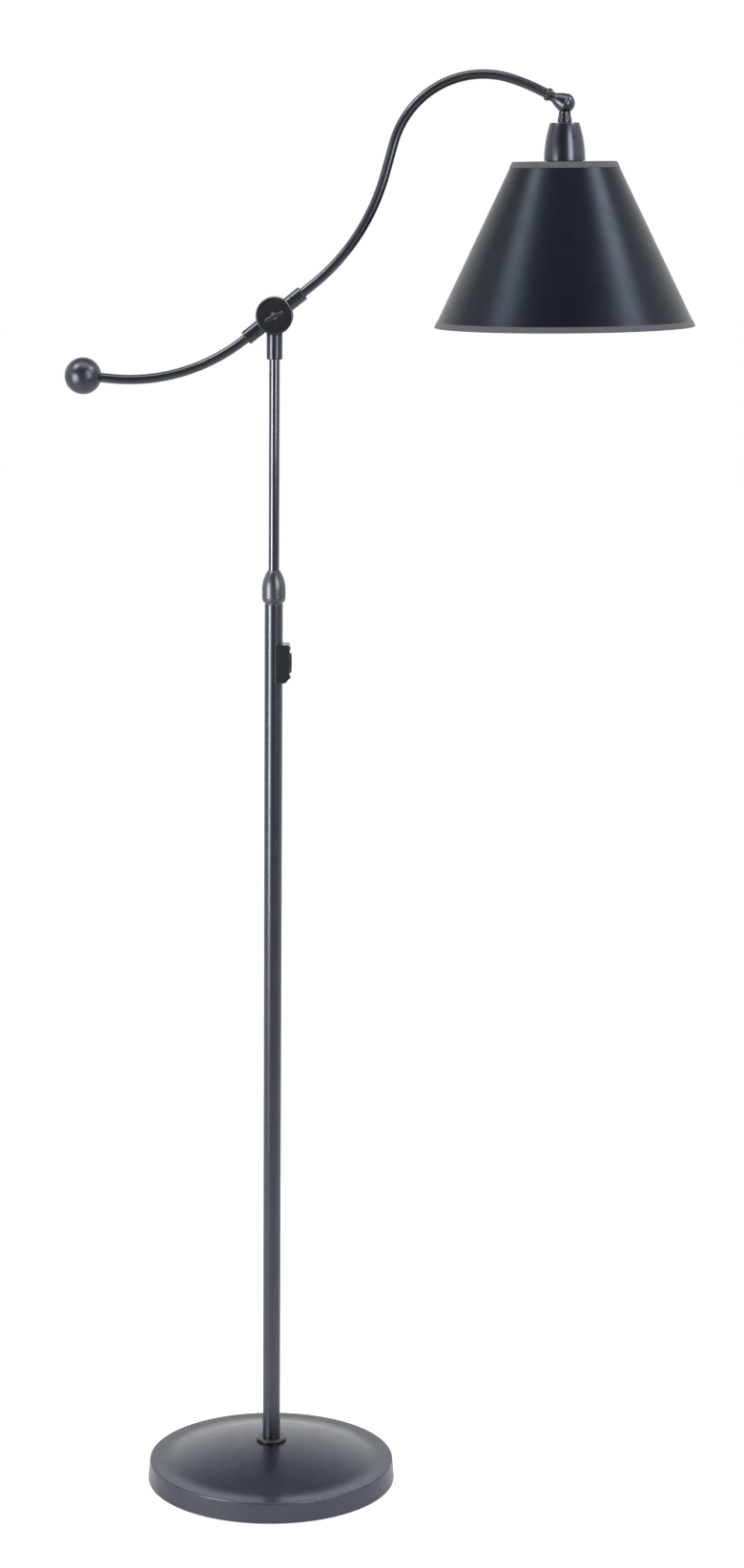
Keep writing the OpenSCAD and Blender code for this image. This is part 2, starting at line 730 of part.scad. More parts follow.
module wing_knob() {
    front = stud_end - 2.5;
    back = hub_front - 1.1;
    depth = back - front;
    wing_depth = depth - wing_from - 0.8;
    color(slate) translate([0, back, pivot_z]) rotate([90, 0, 0]) difference() {
        union() {
            chamfered_disc(knob_boss_r, depth, knob_edge);
            rotate([0, 0, wing_slope]) translate([0, 0, wing_from]) {
                translate([wing_r - wing_half_l, -wing_r, 0])
                    cube([2 * (wing_half_l - wing_r), 2 * wing_r, wing_depth]);
                for (x = [wing_r - wing_half_l, wing_half_l - wing_r])
                    translate([x, 0, 0]) cylinder(r = wing_r, h = wing_depth);
            }
        }
        translate([0, 0, -overrun]) cylinder(r = stud_r + run_gap, h = back - stud_end + overrun + 0.3);
    }
}

// Swivel

module arm_collar() {
    color(slate) along_arm(arm_end, arm_heading) translate([0, 0, -1]) rotate_extrude()
        polygon([
            [tube_r + fixed_gap, collar_back], [end_ring_r - end_ring_edge, collar_back],
            [end_ring_r, collar_back + end_ring_edge], [end_ring_r, collar_front - end_ring_edge],
            [end_ring_r - end_ring_edge, collar_front], [swivel_stud_r + 2 * fixed_gap, collar_front],
            [swivel_stud_r + 2 * fixed_gap, collar_stop], [tube_r + fixed_gap, collar_stop]
        ]);
}

module swivel_cone() {
    color(slate) along_arm(knuckle, arm_heading) rotate_extrude() polygon([
        [swivel_stud_r + fixed_gap, cone_start - cone_stem_h], [cone_stem_r, cone_start - cone_stem_h],
        [cone_stem_r, cone_start], [cone_small_r, cone_start], [cone_r - 0.4, cone_start + cone_h],
        [cone_r, cone_start + cone_h + 0.4], [cone_r, seam - seam_gap],
        [swivel_stud_r + fixed_gap, seam - seam_gap]
    ]);
}

module swivel_stud() {
    color(steel) along_arm(knuckle, arm_heading) translate([0, 0, -knuckle_reach - swivel_stud_in])
        pipe(swivel_stud_r, swivel_bore_r, knuckle_reach + swivel_stud_in + seam + knuckle_wall + 2.6);
}

module swivel_washer() {
    color(steel) along_arm(knuckle, arm_heading) translate([0, 0, seam + knuckle_wall + washer_gap])
        pipe(swivel_washer_r, swivel_stud_r + fixed_gap, swivel_washer_h);
}

module swivel_nut() {
    start = seam + knuckle_wall + washer_gap + swivel_washer_h + fixed_gap;
    color(steel) along_arm(knuckle, arm_heading) translate([0, 0, start]) difference() {
        cylinder(r = swivel_washer_r, h = swivel_nut_h, $fn = 6);
        translate([0, 0, -overrun]) cylinder(r = swivel_stud_r + fixed_gap, h = swivel_nut_h + 2 * overrun);
    }
}

// The part of a ball beyond a plane across its axis
module half_ball(r, from) {
    rotate_extrude() intersection() {
        circle(r = r);
        translate([0, from]) square([r, r]);
    }
}

module swivel_ball() {
    color(slate) difference() {
        union() {
            along_arm(knuckle, arm_heading) half_ball(knuckle_r, seam);
            difference() {
                in_head() rotate_extrude() polygon([
                    [0, -neck_from], [waist_r, -neck_from], [waist_r, -waist_down],
                    [neck_r, -neck_h + 1.2], [neck_r, -neck_h], [0, -neck_h]]);
                along_arm(knuckle, arm_heading) translate([0, 0, seam - 30]) cylinder(r = cone_r + 0.3, h = 30);
            }
        }
        along_arm(knuckle, arm_heading) {
            cylinder(r = swivel_stud_r + run_gap, h = 6);
            half_ball(knuckle_cavity_r, seam + knuckle_wall);
        }
        in_head() head_ring(nipple_r + fixed_gap, 0, nipple_down - 0.2, neck_h + overrun);
        in_head() translate([2.5, 0, 0]) head_ring(lead_way_r, 0, 5.5, 12);
    }
}

// Head

module head_nipple() {
    color(steel) in_head() head_ring(nipple_r, nipple_bore_r, nipple_down, cup_top + 9);
}

module head_locknut() {
    color(slate) in_head() translate([0, 0, -neck_h - 0.1]) mirror([0, 0, 1]) rotate_extrude()
        polygon([[nipple_r + fixed_gap, 0], [neck_r + 0.1, 0], [locknut_r, 1.6], [locknut_r, locknut_h - 0.5],
            [locknut_r - 0.5, locknut_h], [nipple_r + fixed_gap, locknut_h]]);
}

// The cup's section from axis to open end, stepped along its bulge
module socket_cup() {
    steps = 16;
    downs = [for (i = [0 : steps]) cup_top + 1.6 + (cup_h - 1.6) * i / steps];
    outer = [for (d = downs) [cup_r_at(d), -d]];
    inner = [for (i = [steps : -1 : 0]) [cup_r_at(downs[i]) - cup_wall, -downs[i]]];
    color(slate) in_head() rotate_extrude() polygon(concat(
        [[nipple_r + fixed_gap, -cup_top], [cup_neck_r - 1.4, -cup_top], [cup_neck_r - 0.4, -cup_top - 0.4]],
        outer, inner, [[nipple_r + fixed_gap, -cup_top - 1.6]]
    ));
}

module socket_body() {
    floor_down = contact_z - 2;
    shoulder_top = fitter_z - 4;
    mouth = fitter_z + fitter_t + ring_h + 6;
    color(moulded) in_head() difference() {
        union() {
            head_ring(socket_cap_r, 0, cup_top + 3, floor_down);
            head_ring(socket_barrel_r, 0, cup_top + 12, shoulder_top);
            head_ring(shoulder_r, 0, shoulder_top, fitter_z);
            head_ring(socket_thread_r, 0, fitter_z - 1, mouth);
        }
        head_ring(nipple_r + fixed_gap, 0, cup_top, cup_top + 10);
        head_ring(socket_way_r, 0, cup_top, floor_down + 1);
        head_ring(shell_r + shell_t + fixed_gap, 0, floor_down, mouth + overrun);
    }
}

module screw_shell() {
    color(brass) in_head() head_ring(shell_r + shell_t, shell_r, contact_z + 4, contact_z + 26);
}

module centre_contact() {
    color(brass) in_head() {
        head_ring(4.2, 0, contact_z - 1.9, contact_z - 0.6);
        head_ring(2.5, 0, contact_z - 0.6, contact_z + 1);
    }
}

module socket_ring() {
    color(moulded) in_head() head_ring(ring_r, socket_thread_r + fixed_gap, fitter_z + fitter_t + fixed_gap,
        fitter_z + fitter_t + ring_h);
}

// Uno ring, three spokes and the shade's top wire, welded together
module shade_fitter() {
    wire_ring_r = shade_r(fitter_z + fitter_t / 2) - trim_t - panel_t - liner_t - trim_t - wire_r - 0.5;
    color(slate) in_head() {
        head_ring(fitter_r, socket_thread_r + 0.1, fitter_z, fitter_z + fitter_t);
        translate([0, 0, -fitter_z - fitter_t / 2]) {
            rotate_extrude() translate([wire_ring_r, 0]) circle(r = wire_r);
            for (turn = [30, 150, 270]) rotate([0, 90, turn]) translate([0, 0, fitter_r - spoke_root])
                cylinder(r = wire_r - 0.2, h = wire_ring_r - fitter_r + spoke_root);
        }
    }
}

// A skin of the shade's cone between two depths under its outside surface
module shade_skin(top, bottom, depth, thickness) {
    rotate_extrude() polygon([
        [shade_r(top) - depth, -top], [shade_r(bottom) - depth, -bottom],
        [shade_r(bottom) - depth - thickness, -bottom], [shade_r(top) - depth - thickness, -top]
    ]);
}

module shade_panel() {
    color(dark) in_head() shade_skin(skin_top, skin_bottom, trim_t + skin_gap, panel_t - skin_gap);
}

module shade_liner() {
    color("#efece2") in_head() shade_skin(skin_top, skin_bottom, trim_t + panel_t, liner_t);
}

// Folded tape over an edge of the shade, as one outline around the edge
module edge_trim(edge_down, inner_down) {
    body = trim_t + panel_t + liner_t;
    fold = edge_down + (inner_down > edge_down ? trim_t : -trim_t);
    in_head() rotate_extrude() polygon([
        [shade_r(edge_down), -edge_down], [shade_r(inner_down), -inner_down],
        [shade_r(inner_down) - trim_t, -inner_down], [shade_r(fold) - trim_t, -fold],
        [shade_r(fold) - body, -fold], [shade_r(inner_down) - body, -inner_down],
        [shade_r(inner_down) - body - trim_t, -inner_down], [shade_r(edge_down) - body - trim_t, -edge_down]
    ]);
}

module top_trim() {
    color(tape) edge_trim(shade_top, shade_top + trim_w);
}

module bottom_trim() {
    color(tape) edge_trim(shade_bottom, shade_bottom - trim_w);
}

module bottom_wire() {
    down = shade_bottom - trim_w - wire_r - 0.3;
    color("#e0ddd2") in_head() translate([0, 0, -down]) rotate_extrude()
        translate([shade_r(down) - trim_t - panel_t - liner_t - 1.2 * wire_r, 0]) circle(r = wire_r);
}

// A bulb with a straight neck and a cone that runs tangent into its globe
module bulb_profile(inset) {
    centre = bulb_end - bulb_r;
    rise = centre - bulb_neck_end;
    tangent = asin(bulb_r / norm([bulb_neck_r, rise])) - atan(bulb_neck_r / rise);
    r = bulb_r - inset;
    translate([0, -centre]) intersection() {
        circle(r = r);
        translate([0, -bulb_r]) square([bulb_r, 2 * bulb_r]);
    }
    polygon([
        [0, -centre], [r * cos(tangent), -centre + r * sin(tangent)], [bulb_neck_r - inset, -bulb_neck_end],
        [bulb_neck_r - inset, -bulb_glass_z], [0, -bulb_glass_z]]);
}

module bulb_glass() {
    color("#f4f2ea") in_head() rotate_extrude() difference() {
        bulb_profile(0);
        bulb_profile(glass_t);
    }
}

module bulb_base() {
    color("#c9c9cc") in_head() {
        head_ring(cap_r, 0, bulb_tip + cap_tip_h, bulb_glass_z - 0.1);
        head_ring(cap_tip_r, 0, bulb_tip, bulb_tip + cap_tip_h);
    }
}

floor_pad();
base_weight();
base_cover();
cord_gland();
foot_washer();
pole_nipple();
nipple_nut();
nipple_lock_washer();
pole_foot_plug();
lower_pole();
pole_ferrule();
collet();
dimmer_housing();
dimmer_body();
dimmer_screws();
pole_lead();
lock_collar();
dimmer_dial();
glide_bush();
upper_rod();
mast_socket();
mast_setscrew();
mast_lead();
pivot_stud();
friction_washer();
arm_hub();
arm_tube();
counterweight_tube();
counterweight();
tube_setscrews();
arm_collar();
swivel_cone();
swivel_stud();
swivel_nut();
swivel_washer();
arm_lead();
knob_washer();
wing_knob();
swivel_ball();
head_nipple();
head_locknut();
socket_cup();
socket_body();
screw_shell();
centre_contact();
socket_ring();
shade_fitter();
shade_panel();
shade_liner();
top_trim();
bottom_trim();
bottom_wire();
bulb_glass();
bulb_base();
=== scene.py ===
import json
from math import acos, asin, atan2, copysign, cos, exp, pi, radians, sin, sqrt, tan

import bmesh
import bpy
import numpy as np
from mathutils import Matrix, Vector


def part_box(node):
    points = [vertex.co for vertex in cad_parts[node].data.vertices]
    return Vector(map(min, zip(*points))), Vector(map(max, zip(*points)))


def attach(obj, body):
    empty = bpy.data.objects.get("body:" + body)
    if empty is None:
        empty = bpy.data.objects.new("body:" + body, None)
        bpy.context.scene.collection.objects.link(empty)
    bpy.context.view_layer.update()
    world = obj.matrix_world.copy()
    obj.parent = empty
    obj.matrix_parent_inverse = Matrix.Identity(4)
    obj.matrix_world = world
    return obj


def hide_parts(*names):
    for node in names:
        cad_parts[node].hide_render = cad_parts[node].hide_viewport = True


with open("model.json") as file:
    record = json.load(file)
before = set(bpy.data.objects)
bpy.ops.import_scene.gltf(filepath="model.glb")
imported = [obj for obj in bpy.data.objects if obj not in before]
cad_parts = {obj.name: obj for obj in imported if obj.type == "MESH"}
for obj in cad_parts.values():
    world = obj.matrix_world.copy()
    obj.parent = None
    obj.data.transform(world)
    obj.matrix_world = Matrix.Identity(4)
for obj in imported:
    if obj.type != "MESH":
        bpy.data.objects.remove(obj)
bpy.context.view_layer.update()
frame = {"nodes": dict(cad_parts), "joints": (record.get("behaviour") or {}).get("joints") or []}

# Pharmacy floor lamp. Lengths in profiles and outlines are in millimetres and become metres in place().
MM = 0.001
joints = {j["name"]: j for j in frame["joints"]}
scene = bpy.context.scene


# ---- places from the frame

def low(node):
    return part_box(node)[0]


def high(node):
    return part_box(node)[1]


def middle(node):
    a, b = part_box(node)
    return (a + b) / 2


def box_mm(node):
    """A node's lowest and highest corners, in millimetres."""
    lo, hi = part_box(node)
    return lo / MM, hi / MM


def frame_at(origin, along, side=(0, -1, 0)):
    """A matrix that puts the origin at a point, Z along a direction and X as near to side as it can be."""
    z = Vector(along).normalized()
    x = Vector(side)
    x = (x - z * x.dot(z)).normalized()
    y = z.cross(x)
    m = Matrix((x, y, z)).transposed().to_4x4()
    m.translation = Vector(origin)
    return m


ARM_Y = middle("arm_tube").y
PIVOT = Vector(joints["arm_pivot"]["pos_m"])
KNUCKLE = Vector(joints["head_swivel"]["pos_m"])
ARM_END_AXIS = Vector(joints["head_swivel"]["axis"]).normalized()
SHADE_TOP = Vector(middle("top_trim"))
HEAD_LEAN = radians(1)
HEAD_DOWN = Vector((sin(HEAD_LEAN), 0, -cos(HEAD_LEAN)))
HEAD = frame_at(KNUCKLE, -HEAD_DOWN)
SLEEVE_SLOPE = radians(38.8)


def at_height(z_mm):
    return Matrix.Translation((0, 0, z_mm * MM))


def in_arm_plane(heading, reach_mm=0.0):
    """Z along a heading in the arm's plane, from a point on that line through the pivot."""
    way = Vector((cos(heading), 0, sin(heading)))
    return frame_at(PIVOT + way * reach_mm * MM, way)


# ---- mesh code

SHORTEST_SIDE = 1e-6
NEARLY_STRAIGHT = pi - 0.01
SIDE_SHARE = 0.48       # the most of a side that one rounded corner takes up
ON_AXIS = 1e-4
WELD, COLLAPSE = 0.004, 0.002
EDGE_ANGLE = 0.6


def rounded(points, steps=6):
    """A closed outline whose corners with a third number are rounded by that radius."""
    out = []
    count = len(points)
    for i, p in enumerate(points):
        here = Vector(p[:2])
        r = p[2] if len(p) > 2 else 0
        to_a = Vector(points[i - 1][:2]) - here
        to_b = Vector(points[(i + 1) % count][:2]) - here
        if r <= 0 or min(to_a.length, to_b.length) < SHORTEST_SIDE:
            out.append(here)
            continue
        a, b = to_a.normalized(), to_b.normalized()
        opening = a.angle(b)
        if opening > NEARLY_STRAIGHT:
            out.append(here)
            continue
        tangent = min(r / tan(opening / 2), SIDE_SHARE * to_a.length, SIDE_SHARE * to_b.length)
        r = tangent * tan(opening / 2)
        centre = here + (a + b).normalized() * (r / sin(opening / 2))
        start, end = here + a * tangent - centre, here + b * tangent - centre
        turn = start.angle_signed(end)
        for k in range(steps + 1):
            angle = -turn * k / steps
            c, s = cos(angle), sin(angle)
            out.append(centre + Vector((start.x * c - start.y * s, start.x * s + start.y * c)))
    return with_holds(out)


def with_holds(points, near=0.45, longest=2.0):
    """Adds a point near each end of every long line, so that smooth shading stays at the corners."""
    out = []
    for i, p in enumerate(points):
        q = points[(i + 1) % len(points)]
        out.append(p)
        length = (q - p).length
        if length > longest:
            way = (q - p) / length
            out.append(p + way * near)
            out.append(q - way * near)
    return out


def bridge(bm, a, b):
    """Faces between two rings with the same number of points."""
    count = len(a)
    for k in range(count):
        n = (k + 1) % count
        bm.faces.new((a[k], a[n], b[n], b[k]))


def lathe(outline, segments=96, warp=None):
    """A bmesh of a closed outline of (radius, height) points turned about Z.

    warp(r, z, angle) may move a point.
    """
    bm = bmesh.new()
    rings = []
    for r, z in (tuple(p)[:2] for p in outline):
        if r < ON_AXIS:
            rings.append([bm.verts.new((0, 0, z))] * segments)
            continue
        ring = []
        for k in range(segments):
            angle = 2 * pi * k / segments
            rr, zz = warp(r, z, angle) if warp else (r, z)
            ring.append(bm.verts.new((rr * cos(angle), rr * sin(angle), zz)))
        rings.append(ring)
    for i, ring in enumerate(rings):
        above = rings[(i + 1) % len(rings)]
        for k in range(segments):
            n = (k + 1) % segments
            corners = []
            for v in (ring[k], ring[n], above[n], above[k]):
                if v not in corners:
                    corners.append(v)
            if len(corners) > 2:
                bm.faces.new(corners)
    bmesh.ops.recalc_face_normals(bm, faces=bm.faces)
    return bm


def turned(points, segments, steps=6):
    """A lathed bmesh of an outline whose marked corners are rounded."""
    return lathe(rounded(points, steps), segments)


def bar(r, start, end, segments=64):
    return lathe([(0, start), (r, start), (r, end), (0, end)], segments)


def sweep(path, radius, bore=0.0, segments=40, squash=None):
    """A bmesh of a tube along points in the XZ plane, in millimetres, with its own end faces."""
    bm = bmesh.new()
    shells = []
    for r in [radius] + ([bore] if bore else []):
        rings = []
        for i, p in enumerate(path):
            a, b = path[max(i - 1, 0)], path[min(i + 1, len(path) - 1)]
            t = (b - a).normalized()
            n = Vector((-t.y, t.x))
            flat = squash(i) if squash else 0.0
            ring = []
            for k in range(segments):
                angle = 2 * pi * k / segments
                out = r * cos(angle) * (1 - flat)
                across = r * sin(angle) * (1 + flat / 2)
                ring.append(bm.verts.new((p.x + n.x * out, across, p.y + n.y * out)))
            rings.append(ring)
        shells.append(rings)
    for rings in shells:
        for a, b in zip(rings, rings[1:]):
            bridge(bm, a, b)
    for end in (0, -1):
        if bore:
            bridge(bm, shells[0][end], shells[1][end])
        else:
            bm.faces.new(shells[0][end])
    bmesh.ops.recalc_face_normals(bm, faces=bm.faces)
    return bm


def slab(outline, bottom, top, bevel=0.0, steps=4):
    """A bmesh of an outline in XY raised from bottom to top, with its edges rounded."""
    bm = bmesh.new()
    ring = [bm.verts.new((p[0], p[1], bottom)) for p in outline]
    face = bm.faces.new(ring)
    raised = bmesh.ops.extrude_face_region(bm, geom=[face])
    upper = [v for v in raised["geom"] if isinstance(v, bmesh.types.BMVert)]
    bmesh.ops.translate(bm, vec=(0, 0, top - bottom), verts=upper)
    bmesh.ops.recalc_face_normals(bm, faces=bm.faces)
    if bevel:
        edges = [e for e in bm.edges if e.calc_face_angle(0) > EDGE_ANGLE]
        bmesh.ops.bevel(bm, geom=edges, offset=bevel, segments=steps, profile=0.5,
                        affect="EDGES", clamp_overlap=True)
    return bm


def box_mesh(lo, hi, bevel=0.0, steps=4):
    outline = [(lo[0], lo[1]), (hi[0], lo[1]), (hi[0], hi[1]), (lo[0], hi[1])]
    return slab(outline, lo[2], hi[2], bevel, steps)


def moved(bm, matrix):
    """The bmesh moved by a matrix whose translation is in metres, its own points in millimetres."""
    m = matrix.copy()
    m.translation = m.translation / MM
    bmesh.ops.transform(bm, matrix=m, verts=bm.verts)
    return bm


def in_scene(name, data):
    """A new object in the scene that shows a mesh, a light or a camera."""
    o = bpy.data.objects.new(name, data)
    scene.collection.objects.link(o)
    return o


def as_mesh(name, bm):
    mesh = bpy.data.meshes.new(name)
    bm.to_mesh(mesh)
    bm.free()
    return mesh


def evaluated(work):
    """The object's mesh with its modifiers applied."""
    bpy.context.view_layer.update()
    return bpy.data.meshes.new_from_object(work.evaluated_get(bpy.context.evaluated_depsgraph_get()))


def taken_back(work, mesh):
    """A mesh as a bmesh, once its temporary object is removed."""
    bm = bmesh.new()
    bm.from_mesh(mesh)
    bpy.data.objects.remove(work)
    return bm


def carve(base, tools, operation="DIFFERENCE"):
    """The first bmesh joined with or cut by the others, as a new bmesh."""
    work = in_scene("temp", as_mesh("temp", base))
    for tool in tools:
        other = in_scene("temp", as_mesh("temp", tool))
        mod = work.modifiers.new("cut", "BOOLEAN")
        mod.operation, mod.object, mod.solver = operation, other, "EXACT"
        made = evaluated(work)
        work.modifiers.clear()
        work.data = made
        bpy.data.objects.remove(other)
    bm = taken_back(work, work.data)
    bmesh.ops.remove_doubles(bm, verts=bm.verts, dist=WELD)
    bmesh.ops.dissolve_degenerate(bm, edges=bm.edges, dist=COLLAPSE)
    return bm


def remeshed(bm, voxel, passes):
    """The bmesh as one smooth skin, with its edges softened."""
    work = in_scene("temp", as_mesh("temp", bm))
    mod = work.modifiers.new("remesh", "REMESH")
    mod.mode, mod.voxel_size = "VOXEL", voxel
    soft = work.modifiers.new("soft", "SMOOTH")
    soft.factor, soft.iterations = 0.5, passes
    return taken_back(work, evaluated(work))


def joined(*parts):
    """Several bmeshes as one, without merging them."""
    whole = bmesh.new()
    for part in parts:
        mesh = as_mesh("temp", part)
        whole.from_mesh(mesh)
        bpy.data.meshes.remove(mesh)
    return whole


def mark_wear(mesh, start=1500.0, full=5500.0, longest=0.004):
    """Stores how sharply the surface curves outwards at each vertex, as a float attribute named wear.

    It goes from 0 to 1 between two curvatures, each one over a radius in metres. An edge longer than longest
    counts as flat.
    """
    count = len(mesh.vertices)
    co = np.empty(count * 3)
    mesh.vertices.foreach_get("co", co)
    co = co.reshape(-1, 3)
    normal = np.array([v.vector for v in mesh.vertex_normals]).reshape(-1, 3)
    edge = np.empty(len(mesh.edges) * 2, dtype=np.int64)
    mesh.edges.foreach_get("vertices", edge)
    edge = edge.reshape(-1, 2)
    step = co[edge[:, 1]] - co[edge[:, 0]]
    length = np.maximum((step ** 2).sum(1), 1e-12)
    bend = ((normal[edge[:, 1]] - normal[edge[:, 0]]) * step).sum(1) / length
    bend[length > longest ** 2] = 0
    sharp = np.zeros(count)
    np.maximum.at(sharp, edge[:, 0], bend)
    np.maximum.at(sharp, edge[:, 1], bend)
    worn = np.clip((sharp - start) / (full - start), 0, 1)
    attribute = mesh.attributes.new("wear", "FLOAT", "POINT")
    attribute.data.foreach_set("value", worn.astype(np.float32))


def place(name, bm, body, slot, replaces=(), matrix=None, look=None, sharp=35.0, wear=True, weighted=True):
    """A finished piece from a bmesh in millimetres. Its material is its slot's, or a variant given as look."""
    if matrix is not None:
        moved(bm, matrix)
    bmesh.ops.scale(bm, vec=(MM, MM, MM), verts=bm.verts)
    mesh = as_mesh(name, bm)
    mesh.shade_smooth()
    mesh.set_sharp_from_angle(angle=radians(sharp))
    if wear:
        mark_wear(mesh)
    o = in_scene(name, mesh)
    mesh.materials.append(look or LOOKS[slot])
    if weighted:
        mod = o.modifiers.new("normals", "WEIGHTED_NORMAL")
        mod.keep_sharp = True
    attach(o, body)
    if replaces:
        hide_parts(*replaces)
    return o


# ---- materials

def new_node(tree, kind, **values):
    """A shader node with its named inputs set."""
    n = tree.nodes.new("ShaderNode" + kind)
    for key, value in values.items():
        n.inputs[key.replace("_", " ")].default_value = value
    return n


class Look:
    """A node material with helpers for detail in the piece's own coordinates, in metres."""

    def __init__(self, name, **shader):
        self.material = bpy.data.materials.new(name)
        self.material.use_nodes = True
        self.tree = self.material.node_tree
        self.tree.nodes.clear()
        self.shader = self.node("BsdfPrincipled", **shader)
        self.output = self.node("OutputMaterial")
        self.tree.links.new(self.shader.outputs[0], self.output.inputs["Surface"])
        self.where = self.node("TexCoord").outputs["Object"]
        self.normal = None

    def node(self, kind, **values):
        return new_node(self.tree, kind, **values)

    def link(self, source, socket):
        if isinstance(source, (int, float)):
            socket.default_value = source
        elif isinstance(source, (tuple, list)):
            socket.default_value = (*source[:3], 1) if len(socket.default_value) == 4 else source
        else:
            self.tree.links.new(source, socket)

    def math(self, operation, a, b=0.0, clamp=False):
        n = self.node("Math")
        n.operation, n.use_clamp = operation, clamp
        self.link(a, n.inputs[0])
        self.link(b, n.inputs[1])
        return n.outputs[0]

    def stretched(self, scale):
        n = self.node("Mapping", Scale=scale)
        self.link(self.where, n.inputs["Vector"])
        return n.outputs[0]

    def noise(self, scale, detail=2.0, rough=0.55, stretch=None, where=None, distort=0.0):
        n = self.node("TexNoise", Scale=scale, Detail=detail, Roughness=rough, Distortion=distort)
        self.link(self.stretched(stretch) if stretch else (where or self.where), n.inputs["Vector"])
        return n.outputs["Fac"]

    def spots(self, scale):
        n = self.node("TexVoronoi", Scale=scale)
        self.link(self.where, n.inputs["Vector"])
        return n.outputs["Distance"]

    def remap(self, source, low, high, start=0.3, end=0.7):
        n = self.node("MapRange", From_Min=start, From_Max=end, To_Min=low, To_Max=high)
        self.link(source, n.inputs["Value"])
        return n.outputs["Result"]

    def mix(self, factor, a, b):
        n = self.node("Mix")
        n.data_type = "RGBA"
        self.link(factor, n.inputs["Factor"])
        self.link(a, n.inputs[6])
        self.link(b, n.inputs[7])
        return n.outputs[2]

    def between(self, source, dark, light, *limits):
        """A colour that goes from dark to light as the source passes from one limit to the other."""
        return self.mix(self.remap(source, 0, 1, *limits), dark, light)

    def worn_edge(self, scale, low, high):
        """How far an edge is worn: the mesh's wear attribute, broken up by a noise."""
        n = self.node("Attribute")
        n.attribute_name = "wear"
        patchy = self.remap(self.noise(scale, 3), low, high)
        return self.math("MULTIPLY", n.outputs["Fac"], patchy, clamp=True)

    def split(self):
        n = self.node("SeparateXYZ")
        self.link(self.where, n.inputs[0])
        return n.outputs

    def merged(self, x, y, z):
        n = self.node("CombineXYZ")
        for source, socket in zip((x, y, z), n.inputs):
            self.link(source, socket)
        return n.outputs[0]

    def colour(self, source):
        self.link(source, self.shader.inputs["Base Color"])

    def rough(self, source):
        self.link(source, self.shader.inputs["Roughness"])

    def bump(self, source, distance):
        n = self.node("Bump", Distance=distance)
        self.link(source, n.inputs["Height"])
        if self.normal is not None:
            self.link(self.normal, n.inputs["Normal"])
        self.normal = n.outputs[0]
        self.link(self.normal, self.shader.inputs["Normal"])

    def uneven(self, scale, detail, low, high):
        """Roughness that wanders between two values."""
        self.rough(self.remap(self.noise(scale, detail), low, high))

    def grain(self, scale, detail, height):
        """Fine relief, with its height in metres."""
        self.bump(self.noise(scale, detail), height)

    def around_z(self):
        """Coordinates (distance from the Z axis, 0, height), for spun marks."""
        x, y, z = self.split()
        r = self.math("SQRT", self.math("ADD", self.math("MULTIPLY", x, x), self.math("MULTIPLY", y, y)))
        return self.merged(r, 0.0, z)


BARE_EDGE = (0.20, 0.21, 0.23)
DRAWN_LINE, SPUN_LINE, PEEL = 0.8e-6, 2.5e-6, 1.4e-6    # heights of relief, in metres


def slate(name, deep, pale, rough, grain=None, spun=False, swing=0.035):
    """Satin slate metal: slightly mottled, with drawn or spun lines, and paler along its edges."""
    look = Look(name, Metallic=1.0, Coat_Weight=0.12, Coat_Roughness=0.22)
    tone = look.between(look.noise(28, 5, 0.6), deep, pale)
    fleck = look.remap(look.noise(1900, 1, 0.5), 0.0, 0.25)
    tone = look.mix(fleck, tone, tuple(c * 1.15 for c in pale))
    edge = look.worn_edge(420, 0.15, 0.9)
    look.colour(look.mix(edge, tone, BARE_EDGE))
    level = look.remap(look.noise(70, 6, 0.65), rough - swing, rough + swing)
    level = look.math("ADD", level, look.remap(look.noise(1500, 1), -0.02, 0.02))
    look.rough(look.math("SUBTRACT", level, look.math("MULTIPLY", edge, 0.08), clamp=True))
    if grain:
        look.bump(look.noise(1, 3, 0.6, stretch=grain), DRAWN_LINE)
    if spun:
        look.bump(look.noise(1300, 3, 0.6, where=look.around_z()), SPUN_LINE)
    look.bump(look.noise(1100, 2, 0.5), PEEL)
    return look.material


DEEP, PALE = (0.072, 0.079, 0.096), (0.088, 0.095, 0.113)
SLATE_CAST = slate("slate_cast", (0.060, 0.066, 0.081), (0.074, 0.080, 0.096), 0.27)
SLATE_DRAWN = slate("slate_drawn", DEEP, PALE, 0.27, grain=(1500, 1500, 5))
SLATE_TURNED = slate("slate_turned", (0.100, 0.107, 0.125), (0.118, 0.125, 0.145), 0.35)
SLATE_ROD = slate("slate_rod", (0.105, 0.11, 0.13), (0.13, 0.136, 0.158), 0.13,
                  grain=(1700, 1700, 7), swing=0.03)
SLATE_BENT = slate("slate_bent", DEEP, PALE, 0.26)
SLATE_BALL = slate("slate_ball", (0.062, 0.068, 0.083), (0.076, 0.082, 0.098), 0.35)
SLATE_SPUN = slate("slate_spun", DEEP, PALE, 0.31, spun=True)


def black_metal():
    look = Look("black_metal", Metallic=0.0, Coat_Weight=0.3, Coat_Roughness=0.2)
    base = look.between(look.noise(60, 4), (0.008, 0.008, 0.010), (0.016, 0.016, 0.019))
    look.colour(look.mix(look.worn_edge(700, 0, 0.8), base, (0.16, 0.165, 0.17)))
    look.uneven(300, 4, 0.26, 0.42)
    look.grain(1500, 2, 5e-6)
    return look.material


def bare_steel():
    look = Look("bare_steel", Metallic=1.0)
    base = look.between(look.noise(120, 4), (0.42, 0.42, 0.43), (0.56, 0.56, 0.55))
    look.colour(look.mix(look.remap(look.noise(340, 5, 0.7), 0, 0.5, 0.55, 0.8), base, (0.24, 0.20, 0.16)))
    look.uneven(500, 3, 0.24, 0.42)
    look.bump(look.noise(1, 2, stretch=(900, 900, 2600)), 4e-6)
    return look.material


